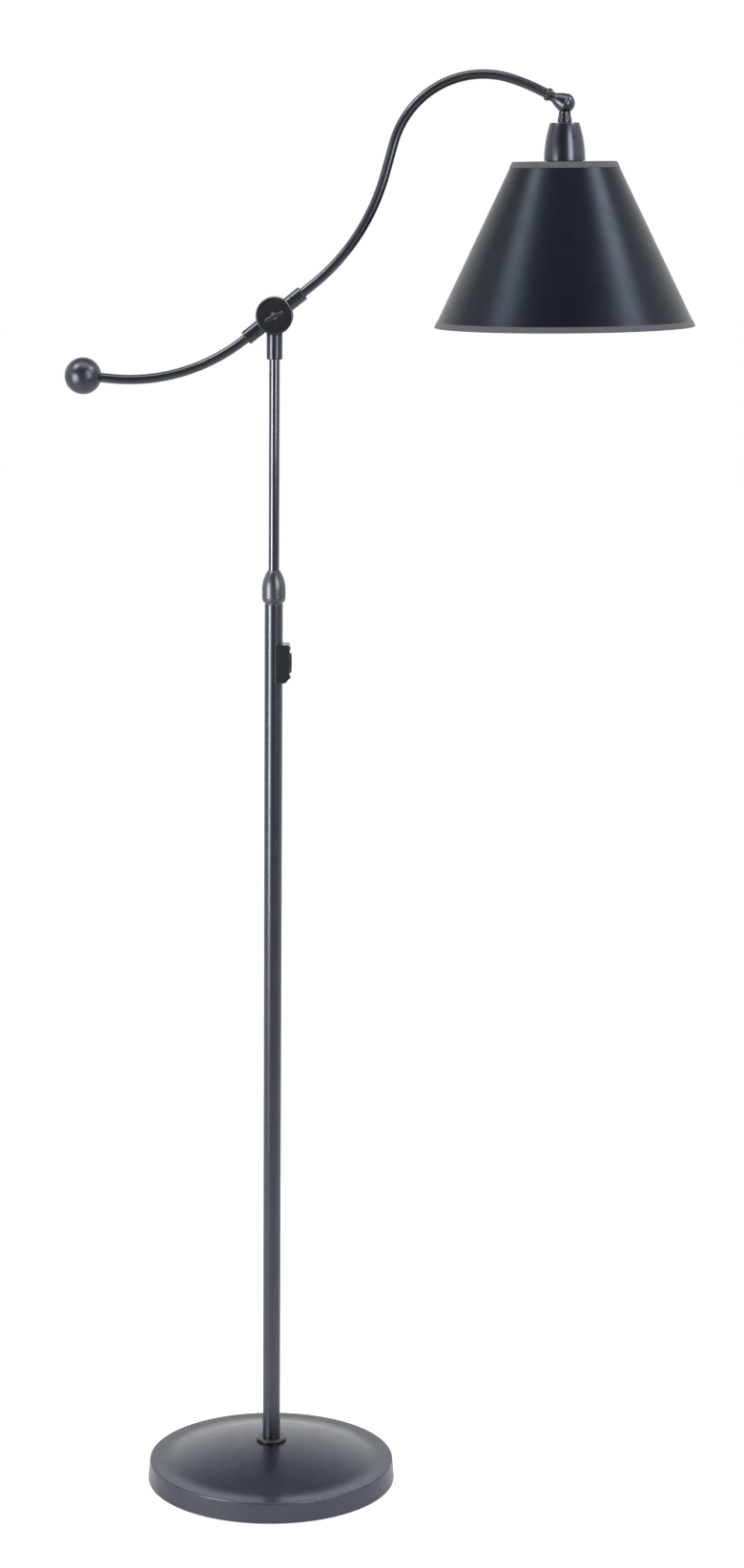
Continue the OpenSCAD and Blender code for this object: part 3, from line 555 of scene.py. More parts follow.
def cast_weight():
    look = Look("cast_weight", Metallic=0.4)
    base = look.between(look.noise(90, 6, 0.7), (0.045, 0.043, 0.042), (0.09, 0.085, 0.08))
    rust = look.remap(look.noise(35, 6, 0.7), 0, 0.7, 0.55, 0.75)
    look.colour(look.mix(rust, base, (0.13, 0.062, 0.032)))
    look.uneven(400, 4, 0.62, 0.88)
    look.bump(look.noise(500, 4, 0.65), 2.5e-4)
    look.bump(look.spots(260), 1.2e-4)
    return look.material


def brass():
    look = Look("brass", Metallic=1.0)
    base = look.between(look.noise(150, 4), (0.62, 0.42, 0.14), (0.80, 0.60, 0.26))
    look.colour(look.mix(look.remap(look.noise(420, 5), 0, 0.6, 0.55, 0.8), base, (0.30, 0.17, 0.06)))
    look.uneven(600, 3, 0.20, 0.38)
    look.grain(1800, 2, 4e-6)
    return look.material


def felt_pad():
    look = Look("felt_pad", Sheen_Weight=0.5, Sheen_Roughness=0.6)
    fibre = look.noise(1, 4, 0.7, stretch=(900, 2600, 900), distort=1.2)
    look.colour(look.between(fibre, (0.012, 0.012, 0.014), (0.045, 0.045, 0.05)))
    look.uneven(900, 3, 0.85, 0.98)
    look.bump(fibre, 1.5e-4)
    look.bump(look.spots(1400), 8e-5)
    return look.material


def black_plastic():
    look = Look("black_plastic")
    look.colour(look.between(look.noise(90, 4), (0.006, 0.006, 0.007), (0.013, 0.013, 0.015)))
    look.uneven(1100, 3, 0.30, 0.44)
    look.bump(look.spots(3200), 7e-6)
    look.grain(2500, 2, 6e-6)
    return look.material


def phenolic():
    look = Look("phenolic", Coat_Weight=0.15, Coat_Roughness=0.2)
    swirl = look.noise(130, 6, 0.6, distort=2.5)
    look.colour(look.between(swirl, (0.010, 0.008, 0.007), (0.030, 0.022, 0.017), 0.4, 0.62))
    look.uneven(420, 3, 0.30, 0.46)
    look.grain(1300, 2, 7e-6)
    return look.material


def friction_fibre():
    look = Look("friction_fibre")
    fibre = look.noise(1, 5, 0.7, stretch=(2200, 700, 2200), distort=1.5)
    look.colour(look.between(fibre, (0.07, 0.035, 0.018), (0.16, 0.085, 0.045)))
    look.uneven(900, 3, 0.7, 0.9)
    look.bump(fibre, 4e-5)
    return look.material


def shade_black():
    """Tight dark cloth laminated on a stiff sheet: fine threads both ways, a little uneven."""
    look = Look("shade_black", Specular_IOR_Level=0.26, Specular_Tint=(0.65, 0.78, 0.98, 1))
    down = look.noise(1, 2, 0.5, stretch=(2400, 2400, 60))
    round_about = look.noise(1, 2, 0.5, stretch=(90, 90, 3000))
    threads = look.math("MULTIPLY", look.math("ADD", down, round_about), 0.5)
    base = look.between(look.noise(45, 5, 0.6), (0.0020, 0.0031, 0.0054), (0.0036, 0.0051, 0.0083))
    look.colour(look.mix(look.remap(threads, 0, 0.5), base, (0.0062, 0.0083, 0.0122)))
    handled = look.remap(look.noise(60, 5, 0.6), 0.29, 0.33)
    look.rough(look.math("ADD", handled, look.remap(threads, -0.03, 0.03)))
    look.bump(threads, 0.9e-5)
    return look.material


def shade_white():
    look = Look("shade_white", Subsurface_Weight=0.15, Subsurface_Scale=0.002)
    fibre = look.noise(1, 5, 0.7, stretch=(300, 300, 120), distort=1.2)
    look.colour(look.between(fibre, (0.76, 0.73, 0.66), (0.83, 0.81, 0.75)))
    look.uneven(800, 3, 0.55, 0.72)
    look.grain(1300, 3, 2e-5)
    return look.material


RIBS_ROUND = 620.0
WEFT_TURNS = 9000.0     # radians for each metre of height


def trim_tape():
    """Ribbed tape: ribs run across it, seen as fine upright lines around the shade's axis."""
    look = Look("trim_tape", Sheen_Weight=0.2, Sheen_Roughness=0.45)
    x, y, z = look.split()
    from_axis = look.math("SUBTRACT", y, SHADE_TOP.y), look.math("SUBTRACT", x, SHADE_TOP.x)
    rib = look.math("SINE", look.math("MULTIPLY", look.math("ARCTAN2", *from_axis), RIBS_ROUND))
    weft = look.math("SINE", look.math("MULTIPLY", z, WEFT_TURNS))
    weave = look.math("ADD", rib, look.math("MULTIPLY", weft, 0.4))
    base = look.between(look.noise(110, 5, 0.6), (0.036, 0.039, 0.049), (0.050, 0.054, 0.066))
    look.colour(look.mix(look.remap(weave, 0, 0.5, -1.0, 1.4), base, (0.080, 0.085, 0.100)))
    look.uneven(700, 3, 0.55, 0.72)
    look.bump(weave, 3.5e-5)
    return look.material


def plain_look(name, clouds, dark, light, rough, relief, **shader):
    """A material clouded between two colours, uneven in roughness and in fine relief.

    clouds is a noise's scale and detail; rough and relief are what uneven() and grain() take.
    """
    look = Look(name, **shader)
    look.colour(look.between(look.noise(*clouds), dark, light))
    look.uneven(*rough)
    look.grain(*relief)
    return look.material


LOOKS = {
    "satin_slate": SLATE_CAST,
    "black_metal": black_metal(),
    "bare_steel": bare_steel(),
    "cast_weight": cast_weight(),
    "brass": brass(),
    "pad": felt_pad(),
    "gland_rubber": plain_look("gland_rubber", (200, 4), (0.010, 0.010, 0.011), (0.022, 0.022, 0.023),
                               (500, 3, 0.48, 0.66), (2200, 3, 1e-5)),
    "nylon": plain_look("nylon", (150, 3), (0.62, 0.58, 0.48), (0.74, 0.71, 0.62),
                        (700, 3, 0.38, 0.52), (1500, 2, 8e-6),
                        Subsurface_Weight=0.2, Subsurface_Scale=0.002),
    "black_plastic": black_plastic(),
    "phenolic": phenolic(),
    "lead_sleeve": plain_look("lead_sleeve", (140, 4), (0.66, 0.63, 0.56), (0.80, 0.78, 0.72),
                              (600, 3, 0.45, 0.62), (1800, 2, 1.5e-5)),
    "friction_fibre": friction_fibre(),
    "shade_black": shade_black(),
    "shade_white": shade_white(),
    "trim_tape": trim_tape(),
    "wire_white": plain_look("wire_white", (200, 4), (0.66, 0.64, 0.58), (0.78, 0.76, 0.71),
                             (800, 3, 0.35, 0.55), (1500, 2, 1.2e-5)),
    "bulb_glass": plain_look("opal_glass", (60, 4), (0.80, 0.79, 0.76), (0.87, 0.865, 0.84),
                             (1200, 3, 0.28, 0.36), (260, 2, 1.2e-5), Coat_Weight=0.8, Coat_Roughness=0.05,
                             Subsurface_Weight=0.35, Subsurface_Scale=0.004),
    "bulb_cap": plain_look("bulb_cap", (300, 4), (0.55, 0.55, 0.54), (0.72, 0.72, 0.70),
                           (700, 3, 0.22, 0.36), (1700, 2, 6e-6), Metallic=1.0),
}
for cad in frame["nodes"].values():
    for material_slot in cad.material_slots:
        material_slot.material = LOOKS[material_slot.name.split(".")[0]]


# ---- base

def base_outline():
    """The spun cover's section: hem, leaning rim, flat ring, soft hollow and dome, then back inside."""
    top = high("base_cover").z / MM
    ring, wall, hollow = 23.2, 1.2, 40.0
    hem_r, ring_r, dome_edge, bore = 134.9, 133.0, 113.0, 5.4
    hem_z, hem_round = 1.0, 0.35
    rise = top - ring
    ball = (dome_edge ** 2 + rise ** 2) / (2 * rise)
    centre = top - ball
    lean = acos((ring + hollow - centre) / (ball + hollow))
    hollow_r = (ball + hollow) * sin(lean)

    def curve(inset, bends=14, rows=44):
        out = [(hollow_r - (hollow + inset) * sin(lean * i / bends),
                ring + hollow - (hollow + inset) * cos(lean * i / bends)) for i in range(bends + 1)]
        reach = (ball - inset) * sin(lean)
        for i in range(1, rows + 1):
            r = reach + (bore - reach) * i / rows
            out.append((r, centre + sqrt((ball - inset) ** 2 - r * r)))
        return out

    return rounded([(hem_r, hem_z, hem_round), (ring_r, ring, 1.5)] + curve(0) + curve(wall)[::-1]
                   + [(ring_r - wall, ring - wall, 0.8), (hem_r - wall, hem_z, hem_round)])


place("base_shell", lathe(base_outline(), 224), "stand", "satin_slate", ["base_cover"], look=SLATE_SPUN)


def flange():
    bore, seat, edge, thick = 5.3, 10.6, 16.5, 3.0
    return turned([(bore, 0, 0.2), (edge, 0, 0.3), (edge, thick, 1.3), (seat, thick, 0.2),
                   (bore, thick)], 128)


place("foot_flange", flange(), "stand", "black_metal", ["foot_washer"],
      at_height(low("foot_washer").z / MM))


def gland():
    """Cord bush on the back of the rim, turned about +Y, with a ribbed neck."""
    inner, outer = low("cord_gland").y / MM, high("cord_gland").y / MM
    bore, groove, neck, barb, flange_r, pitch = 3.2, 4.6, 5.0, 6.0, 7.0, 2.4
    face = outer - 3.0
    ribs = []
    for i in range(3):
        start = inner + pitch * i
        ribs += [(neck, start + 1.2, 0.3), (groove, start + 1.7, 0.2), (groove, start + 2.5, 0.2),
                 (neck, start + 3.0, 0.3)]
    outline = [(bore, inner, 0.3), (neck, inner, 0.4)] + ribs + [
        (neck, face - 4.6), (barb, face - 4.4, 0.3), (barb, face - 2.4, 0.3), (neck, face - 2.2),
        (neck, face, 0.2), (flange_r, face, 0.3), (flange_r, outer - 1.0, 0.9), (5.4, outer - 0.5, 0.4),
        (4.4, outer, 0.4), (bore, outer, 0.5)]
    return moved(turned(outline, 72, 4), frame_at((0, 0, middle("cord_gland").z), (0, 1, 0), (0, 0, 1)))


place("cord_bush", gland(), "stand", "gland_rubber", ["cord_gland"])


# ---- pole

def pipe(outer, bore, bottom, top, segments, lip=0.35):
    corners = (bore, bottom), (outer, bottom), (outer, top), (bore, top)
    return turned([(*corner, lip) for corner in corners], segments, 4)


POLE_R, ROD_R = high("lower_pole").x / MM, high("upper_rod").x / MM
POLE_BORE, ROD_BORE = 8.325, 4.555
HOLE_GAP = 0.05
pole_low, pole_high = (p.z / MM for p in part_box("lower_pole"))
rod_low, rod_high = (p.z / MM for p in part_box("upper_rod"))
place("pole_tube", pipe(POLE_R, POLE_BORE, pole_low, pole_high, 96, 0.5),
      "stand", "satin_slate", ["lower_pole"], look=SLATE_DRAWN)
place("rod_tube", pipe(ROD_R, ROD_BORE, rod_low, rod_high, 72),
      "mast", "satin_slate", ["upper_rod"], look=SLATE_ROD)


def grip_nut():
    """A bullet-shaped grip nut: chamfered foot, straight belly, then one long bow up to the rod."""
    belly = high("lock_collar").x / MM
    height = (high("lock_collar").z - low("lock_collar").z) / MM
    nose, tip, steps = 20.0, 6.2, 32
    rod_hole, seat, thread_r, seat_top, seat_foot = 5.96, 7.4, 8.47, 31.0, 23.5
    bow = (nose ** 2 + (belly - tip) ** 2) / (2 * (belly - tip))
    out = [(9.5, 0.0, 0.3), (9.7, 1.4, 0.6), (11.6, 2.9, 1.5), (belly, 6.7, 4.0)]
    for i in range(steps + 1):
        h = nose * i / steps
        out.append((belly - bow + sqrt(bow ** 2 - h ** 2), height - nose + h))
    return turned(out + [(rod_hole, height, 0.1), (rod_hole, seat_top), (seat, seat_top),
                         (thread_r, seat_foot), (thread_r, 0.0, 0.3)], 112, 5)


place("grip_collar", grip_nut(), "lock_collar", "satin_slate", ["lock_collar"],
      at_height(low("lock_collar").z / MM), SLATE_TURNED)


# ---- dimmer

def housing():
    """Saddle case with a chamfered foot, a well for the dial and a saddle for the pole."""
    lo, hi = box_mm("dimmer_housing")
    foot_in, foot_up, edge_round = 4.4, 5.0, 2.4
    well_r, well_depth, spindle_hole, past = 11.6, 0.35, 3.4, 5
    outline = rounded([(lo.x, lo.z), (hi.x - foot_in, lo.z, 2.5), (hi.x, lo.z + foot_up, 3.0),
                       (hi.x, hi.z, 1.8), (lo.x, hi.z)], 5)
    half = (hi.y - lo.y) / 2
    body = slab([(q.x, q.y) for q in outline], -half, half, edge_round, 5)
    body = moved(body, frame_at((0, 0, 0), (0, -1, 0), (1, 0, 0)))
    axis = frame_at((hi.x * MM, 0, (lo.z + hi.z) / 2 * MM), (1, 0, 0), (0, 0, 1))
    well = turned([(0, -well_depth), (well_r, -well_depth, 0.3), (well_r, 3), (0, 3)], 96, 4)
    return carve(body, [bar(POLE_R + HOLE_GAP, lo.z - past, hi.z + past, 96), moved(well, axis),
                        moved(bar(spindle_hole, -30, past, 48), axis)])


place("dimmer_case", housing(), "stand", "satin_slate", ["dimmer_housing"])


def dial():
    """Round dial with a fluted rim, a shallow dish and a raised pointer."""
    lo, hi = box_mm("dimmer_dial")
    r, back, front, dish = hi.y, 17.25, hi.x, 0.7
    flutes, flute_depth, flute_in, fade = 40, 0.32, 1.9, 1.2
    outline = rounded([(0, back), (2.6, back), (r - 0.5, back, 0.2), (r, back + 0.3, 0.2),
                       (r, back + 0.9, 0.3), (r - 1.6, front - 0.35, 0.5), (r - 3.0, front - 0.2, 0.4),
                       (r - 4.2, front - dish, 0.5), (0, front - dish)], 4)

    def flute(rr, z, angle):
        if rr > r - flute_in:
            rr -= flute_depth * (0.5 + 0.5 * cos(angle * flutes)) * min(1, (rr - r + flute_in) / fade)
        return rr, z

    disc = lathe(outline, 320, flute)
    spindle = bar(2.88, lo.x, back + 0.4, 48)
    pointer = box_mesh((1.6, -0.45, front - 1.1), (r - 4.6, 0.45, front - 0.15), 0.16, 3)
    bm = joined(disc, spindle, pointer)
    return moved(bm, frame_at((0, 0, (lo.z + hi.z) / 2 * MM), (1, 0, 0), (0, 0, 1)))


place("dimmer_knob", dial(), "dial", "black_plastic", ["dimmer_dial"])


def pan_screw(height, head_r, head_h=1.0, shank_r=1.45):
    """A cross-head screw along +Z whose head ends at height."""
    neck = height - head_h
    screw = turned([(0, 0), (shank_r, 0, 0.2), (shank_r, neck), (head_r, neck, 0.15),
                    (head_r, height - head_h * 0.55, 0.3), (head_r * 0.72, height - 0.08, 0.8),
                    (0, height)], 48, 4)
    long, half_w, depth = head_r * 0.6, 0.26, 0.62
    return carve(screw, [box_mesh((-x, -y, height - depth), (x, y, height + 1))
                         for x, y in ((long, half_w), (half_w, long))])


def case_screws():
    lo, hi = box_mm("dimmer_screws")
    head_r = 2.4
    heights = lo.z + head_r, hi.z - head_r
    places = [frame_at((lo.x * MM, 0, z * MM), (1, 0, 0), (0, 0.5, 1)) for z in heights]
    return joined(*[moved(pan_screw(hi.x - lo.x, head_r), at) for at in places])


place("case_screws", case_screws(), "stand", "black_metal", ["dimmer_screws"])


# ---- pivot

GRUB_HOLE_R, GRUB_HOLE_DEPTH = 2.05, 12


def disc(r, h, near=0.4, far=1.3):
    """One of the two friction discs, its faces' edges rounded by near and far."""
    return turned([(0, 0), (r, 0, near), (r, h, far), (0, h)], 128)


def mast_head():
    """Rear disc on a socket for the rod, the socket cut away where the front disc turns."""
    lo, hi = box_mm("mast_socket")
    pivot_z, r = PIVOT.z / MM, (hi.x - lo.x) / 2
    disc_front, socket_r, clear = 0.5, 8.25, 0.7
    whole = moved(disc(r, hi.y - disc_front), frame_at((0, disc_front * MM, PIVOT.z), (0, 1, 0), (0, 0, 1)))
    socket = turned([(0, lo.z), (socket_r, lo.z, 0.9), (socket_r, pivot_z), (0, pivot_z)], 96)
    shoulder = pivot_z - r - clear
    socket = carve(socket, [box_mesh((-20, -20, shoulder), (20, disc_front, shoulder + 60))])
    whole = carve(whole, [socket], "UNION")
    return carve(whole, [bar(ROD_R + HOLE_GAP, lo.z - 1, rod_high, 72),
                         moved(bar(GRUB_HOLE_R, 0, GRUB_HOLE_DEPTH),
                               frame_at((0, 0, middle("mast_setscrew").z), (0, 1, 0)))])


place("mast_fork", mast_head(), "mast", "satin_slate", ["mast_socket"])


def grub_screw(length):
    """A set screw along +Z with a hexagon socket in its outer end."""
    r, key_r, key_depth = 1.95, 0.95, 1.2
    body = turned([(0, 0), (r, 0, 0.3), (r, length, 0.35), (0, length)], 40, 3)
    hexagon = [(key_r * cos(radians(60 * i)), key_r * sin(radians(60 * i))) for i in range(6)]
    return carve(body, [slab(hexagon, length - key_depth, length + 1)])


screw_lo, screw_hi = box_mm("mast_setscrew")
place("mast_grub_screw", grub_screw(screw_hi.y - screw_lo.y), "mast", "bare_steel", ["mast_setscrew"],
      frame_at((0, screw_lo.y * MM, middle("mast_setscrew").z), (0, 1, 0)))


HEADINGS = (SLEEVE_SLOPE, SLEEVE_SLOPE + pi)
GRUB_REACH, GRUB_TURN = 25, radians(23)
GRUB_SEAT, GRUB_LENGTH = 5.02, 2.2


def grub_place(heading, out_mm=0.0):
    """Z along a sleeve's set screw, which sits on its front and a little to one side."""
    across = Vector((-sin(heading), 0, cos(heading)))
    way = Vector((0, -1, 0)) * cos(GRUB_TURN) + across * sin(GRUB_TURN)
    return frame_at(in_arm_plane(heading, GRUB_REACH).translation + way * out_mm * MM, way, (0, 0, 1))


def hub():
    """Front disc with a sleeve on each side, both bored for the tubes."""
    lo, hi = box_mm("arm_hub")
    r = high("mast_socket").x / MM
    sleeve_r, sleeve_end, tube_hole, tube_stop, stud_hole = 7.7, 37.5, 5.04, 17, 3.07
    back = (PIVOT.x, hi.y * MM, PIVOT.z)
    whole = moved(disc(r, hi.y - lo.y, far=1.5), frame_at(back, (0, -1, 0), (0, 0, 1)))
    sleeves, bores = [], []
    for heading in HEADINGS:
        sleeve = turned([(0, 2), (sleeve_r, 2), (sleeve_r, sleeve_end, 0.9), (0, sleeve_end)], 80)
        sleeves.append(moved(sleeve, in_arm_plane(heading)))
        bores.append(moved(bar(tube_hole, tube_stop, sleeve_end + 7.5), in_arm_plane(heading)))
    whole = carve(whole, sleeves, "UNION")
    bores.append(moved(bar(stud_hole, -4, 30), frame_at(back, (0, -1, 0))))
    for heading in HEADINGS:
        bores.append(moved(bar(GRUB_HOLE_R, 0, GRUB_HOLE_DEPTH, 40), grub_place(heading)))
    return carve(whole, bores)


place("pivot_hub", hub(), "arm", "satin_slate", ["arm_hub"])


def tube_grubs():
    return joined(*[moved(grub_screw(GRUB_LENGTH), grub_place(heading, GRUB_SEAT)) for heading in HEADINGS])


place("tube_grub_screws", tube_grubs(), "arm", "black_metal", ["tube_setscrews"])


def wing():
    """Cast wing knob: one slim bar, swollen a little where the screw passes, on a small low boss."""
    lo, hi = box_mm("wing_knob")
    boss_r, boss_h = 4.5, 2.8
    boss = turned([(0, 0), (boss_r, 0, 0.3), (boss_r, 1.2, 0.5), (3.4, boss_h, 1.0), (0, boss_h)], 64)
    half, end_r, swell, swell_reach, thinning, slope = 9.0, 1.9, 0.28, 2.6, 0.05, radians(26.5)
    axis_z = hi.y - lo.y - 2.1
    steps, sides, point = 34, 40, 0.02
    bm = bmesh.new()
    rings = []
    for i in range(steps + 1):
        along = (half + end_r) * sin(-pi / 2 + pi * i / steps)
        past_end = max(abs(along) - half, 0) / end_r
        shrink = max(sqrt(max(1 - past_end ** 2, 0)), point)
        wide = end_r * shrink * (1 + swell * exp(-(along / swell_reach) ** 2))
        tall = end_r * shrink * (1 - thinning * (along / half) ** 2)
        angles = [2 * pi * k / sides for k in range(sides)]
        rings.append([bm.verts.new((along, wide * cos(a), axis_z + tall * sin(a))) for a in angles])
    for a, b in zip(rings, rings[1:]):
        bridge(bm, a, b)
    bm.faces.new(rings[0])
    bm.faces.new(rings[-1])
    bmesh.ops.recalc_face_normals(bm, faces=bm.faces)
    moved(bm, Matrix.Rotation(slope, 4, "Z"))
    bm = remeshed(carve(boss, [bm], "UNION"), 0.16, 6)
    return moved(bm, frame_at((PIVOT.x, hi.y * MM, PIVOT.z), (0, -1, 0), (1, 0, 0)))


place("wing_nut", wing(), "knob", "satin_slate", ["wing_knob"], sharp=60, wear=False)


# ---- arm

def heading_vector(heading):
    return Vector((cos(heading), sin(heading)))


def path_points(run, start, heading, step=3.0):
    """Points along straight lengths (0, length) and bends (radius, degrees) in the arm's plane.

    Lengths are in millimetres. The second list says how sharply the path bends at each point.
    """
    p = Vector(start)
    points, bends = [p.copy()], [0.0]
    for radius, amount in run:
        turn = radians(amount) if radius else 0.0
        if radius:
            count = max(2, round(abs(turn) * radius / step))
            chord = 2 * radius * sin(abs(turn) / count / 2)
        else:
            count = max(1, round(amount / (2 * step)))
            chord = amount / count
        for _ in range(count):
            p = p + heading_vector(heading + turn / count / 2) * chord
            heading += turn / count
            points.append(p.copy())
            bends.append(1.0 / radius if radius else 0.0)
    return points, bends


ARM_RUN = [(0, 31.9), (218, 36), (0, 32.5), (94.7, -91.7), (210, -9.4), (0, 7.5)]
TAIL_RUN = [(0, 21), (192, -44), (0, 16)]
TUBE_START, TUBE_R, TUBE_BORE = 18, 5.0, 4.0
FLATTENING, BLUR = 1.6, 9


def arm_tube(run, heading):
    """A bent tube, a little flattened where it bends."""
    points, bends = path_points(run, heading_vector(heading) * TUBE_START, heading)
    smooth = np.convolve(np.pad(bends, BLUR // 2, mode="edge"), np.ones(BLUR) / BLUR, "valid")
    bm = sweep(points, TUBE_R, TUBE_BORE, 48, lambda i: FLATTENING * smooth[i])
    return moved(bm, Matrix.Translation(PIVOT))


place("arm_pipe", arm_tube(ARM_RUN, HEADINGS[0]), "arm", "satin_slate", ["arm_tube"], look=SLATE_BENT)
place("counterweight_pipe", arm_tube(TAIL_RUN, HEADINGS[1]), "arm", "satin_slate", ["counterweight_tube"],
      look=SLATE_BENT)

BALL_R = (high("counterweight").z - low("counterweight").z) / 2 / MM
TAIL_HEADING = HEADINGS[1] + radians(TAIL_RUN[1][1])


def dome(r, start, steps):
    """Points round a ball of radius r, from just past an angle up to its pole."""
    angles = [start + (pi / 2 - start) * i / steps for i in range(1, steps + 1)]
    return [(r * cos(a), r * sin(a)) for a in angles[:-1]] + [(0.0, r)]


def counter_ball():
    mouth, depth = 5.06, 9
    stop = sqrt(BALL_R ** 2 - mouth ** 2)
    return lathe([(mouth, depth - stop), (mouth, -stop)] + dome(BALL_R, atan2(-stop, mouth), 64)
                 + [(0.0, depth - stop)], 128)


place("counterweight_ball", counter_ball(), "arm", "satin_slate", ["counterweight"],
      frame_at((low("counterweight").x + BALL_R * MM, ARM_Y, middle("counterweight").z),
               (cos(TAIL_HEADING), 0, sin(TAIL_HEADING))), SLATE_BALL, weighted=False)


# ---- swivel

SWIVEL = frame_at(KNUCKLE, ARM_END_AXIS)
SEAM = 1.3
TUBE_FIT, WIRE_HOLE = 5.05, 3.2


def collar_ring():
    foot, stop, bead = -21.3, -17.8, 6.7
    return turned([(TUBE_FIT, foot, 0.2), (6.0, foot, 0.5), (bead, -20.2, 1.2), (bead, -17.2, 1.2),
                   (6.0, -16.2, 0.5), (WIRE_HOLE, -16.15, 0.2), (WIRE_HOLE, stop), (TUBE_FIT, stop)], 72, 5)


place("arm_end_ring", collar_ring(), "arm", "satin_slate", ["arm_collar"], SWIVEL)


def cone():
    """Stout bell with a plain band where the ball's half turns against it."""
    bore, throat, band = 3.05, 5.4, 10.4
    face = SEAM - 0.25
    start = face - 12.8
    foot = start - 4.3
    flare, belly, length, steps = 4.6, 0.45, 11, 12
    bell = [(throat + flare * i / steps + belly * sin(pi * i / steps), start + length * i / steps)
            for i in range(1, steps + 1)]
    stem = [(bore, foot, 0.2), (5.1, foot, 0.2), (5.05, start - 0.3, 1.2), (throat, start + 0.3, 1.2)]
    return turned(stem + bell + [(band, face - 1.4, 0.12), (band, face, 0.25), (bore, face)], 96, 5)


place("swivel_seat", cone(), "arm", "satin_slate", ["swivel_cone"], SWIVEL)


def knuckle():
    """Half ball that turns on the seam, with the neck that carries the head."""
    r, bevel_top = 10.5, SEAM + 0.4
    edge = sqrt(r * r - SEAM * SEAM)
    rim = [(0.0, SEAM), (edge - 0.35, SEAM), (edge - 0.08, SEAM + 0.1),
           (sqrt(r * r - bevel_top ** 2), bevel_top)]
    half = moved(lathe(rim + dome(r, asin(bevel_top / r), 40), 112), SWIVEL)
    foot, root = -14.6, -4
    neck = turned([(0, foot), (6.8, foot, 0.4), (6.8, -14.0, 0.7), (6.35, -12.7, 2.4), (6.2, -10.8, 3),
                   (6.25, root, 0.5), (0, root)], 80)
    other_side = moved(bar(r + 0.25, SEAM - 30, SEAM, 64), SWIVEL)
    return carve(half, [carve(moved(neck, HEAD), [other_side])], "UNION")


def neck_nut():
    foot, top = -19.5, -14.7
    return turned([(TUBE_FIT, foot, 0.1), (7.0, foot, 0.4), (7.4, -18.9, 0.5), (7.3, -16.6, 1.2),
                   (6.75, top, 0.2), (TUBE_FIT, top)], 96, 5)


place("swivel_knuckle", knuckle(), "head", "satin_slate", ["swivel_ball"])
place("neck_nut", neck_nut(), "head", "satin_slate", ["head_locknut"], HEAD)


def cup():
    """Socket cup: one long bow from its shoulder down to a thin lip."""
    top, bottom, r, neck_r, wall = 19.7, 58.0, 21.2, 15.0, 1.1
    shoulder, roof, hole, lip, steps = 1.2, 1.6, 5.1, 0.35, 28
    height = bottom - top
    bulge = (height ** 2 + (r - neck_r) ** 2) / (2 * (r - neck_r))
    downs = [top + shoulder + (height - shoulder) * i / steps for i in range(steps + 1)]
    radii = [r - bulge + sqrt(bulge ** 2 - (bottom - down) ** 2) for down in downs]
    inner = [(x - wall, -down) for x, down in zip(radii, downs)]
    outer = [(x, -down) for x, down in zip(radii, downs)][::-1]
    outer[0] = (*outer[0], lip)
    inner[-1] = (*inner[-1], lip)
    roof_points = [(neck_r - 0.1, -top, 1.0), (hole, -top), (hole, -top - roof)]
    return turned(outer + roof_points + inner, 128, 5)


place("socket_cover", cup(), "head", "satin_slate", ["socket_cup"], HEAD)


# ---- shade

SHADE_TOP_DOWN, SHADE_BOTTOM_DOWN = 58.6, 226.0
SHADE_TOP_R, SHADE_BOTTOM_R = 53.8, 134.6
SKIN_DEPTH, SKIN_THICK = 0.5, 0.9
TAPE_WIDTH, TAPE_BODY = 6, 1.9


def shade_r(down):
    share = (down - SHADE_TOP_DOWN) / (SHADE_BOTTOM_DOWN - SHADE_TOP_DOWN)
    return SHADE_TOP_R + (SHADE_BOTTOM_R - SHADE_TOP_R) * share


def skin():
    top, bottom, rows = SHADE_TOP_DOWN + SKIN_DEPTH, SHADE_BOTTOM_DOWN - SKIN_DEPTH, 24
    downs = [bottom + (top - bottom) * i / rows for i in range(rows + 1)]
    outer = [(shade_r(down) - SKIN_DEPTH, -down) for down in downs]
    return lathe(outer + [(r - SKIN_THICK, z) for r, z in reversed(outer)], 256)


place("shade_paper", skin(), "head", "shade_black", ["shade_panel"], HEAD, weighted=False)


def lap_seam():
    """The sheet's overlap at the back of the shade, 12 mm wide and one sheet proud, from tape to tape."""
    bm = bmesh.new()
    gap, half_w, sheet, squareness = 0.1, 6.0, 0.33, 14
    top, bottom = SHADE_TOP_DOWN + TAPE_WIDTH + gap, SHADE_BOTTOM_DOWN - TAPE_WIDTH - gap
    rows, columns = 40, 12

    def grid(proud, thick):
        lines = []
        for i in range(rows + 1):
            down = top + (bottom - top) * i / rows
            r = shade_r(down) - SKIN_DEPTH
            line = []
            for k in range(columns + 1):
                across = half_w * (2 * k / columns - 1)
                out = r + proud + thick * (1 - abs(across / half_w) ** squareness)
                angle = pi + across / r
                line.append(bm.verts.new((out * cos(angle), out * sin(angle), -down)))
            lines.append(line)
        for a, b in zip(lines, lines[1:]):
            for k in range(columns):
                bm.faces.new((a[k], a[k + 1], b[k + 1], b[k]))
        down_side = [line[0] for line in lines[:-1]] + lines[-1][:-1]
        return down_side + [line[-1] for line in lines[:0:-1]] + lines[0][:0:-1]

    bridge(bm, grid(0.02, sheet), grid(-0.45, 0))
    bmesh.ops.recalc_face_normals(bm, faces=bm.faces)
    return bm


place("shade_lap_seam", lap_seam(), "head", "shade_black", matrix=HEAD, wear=False, weighted=False)


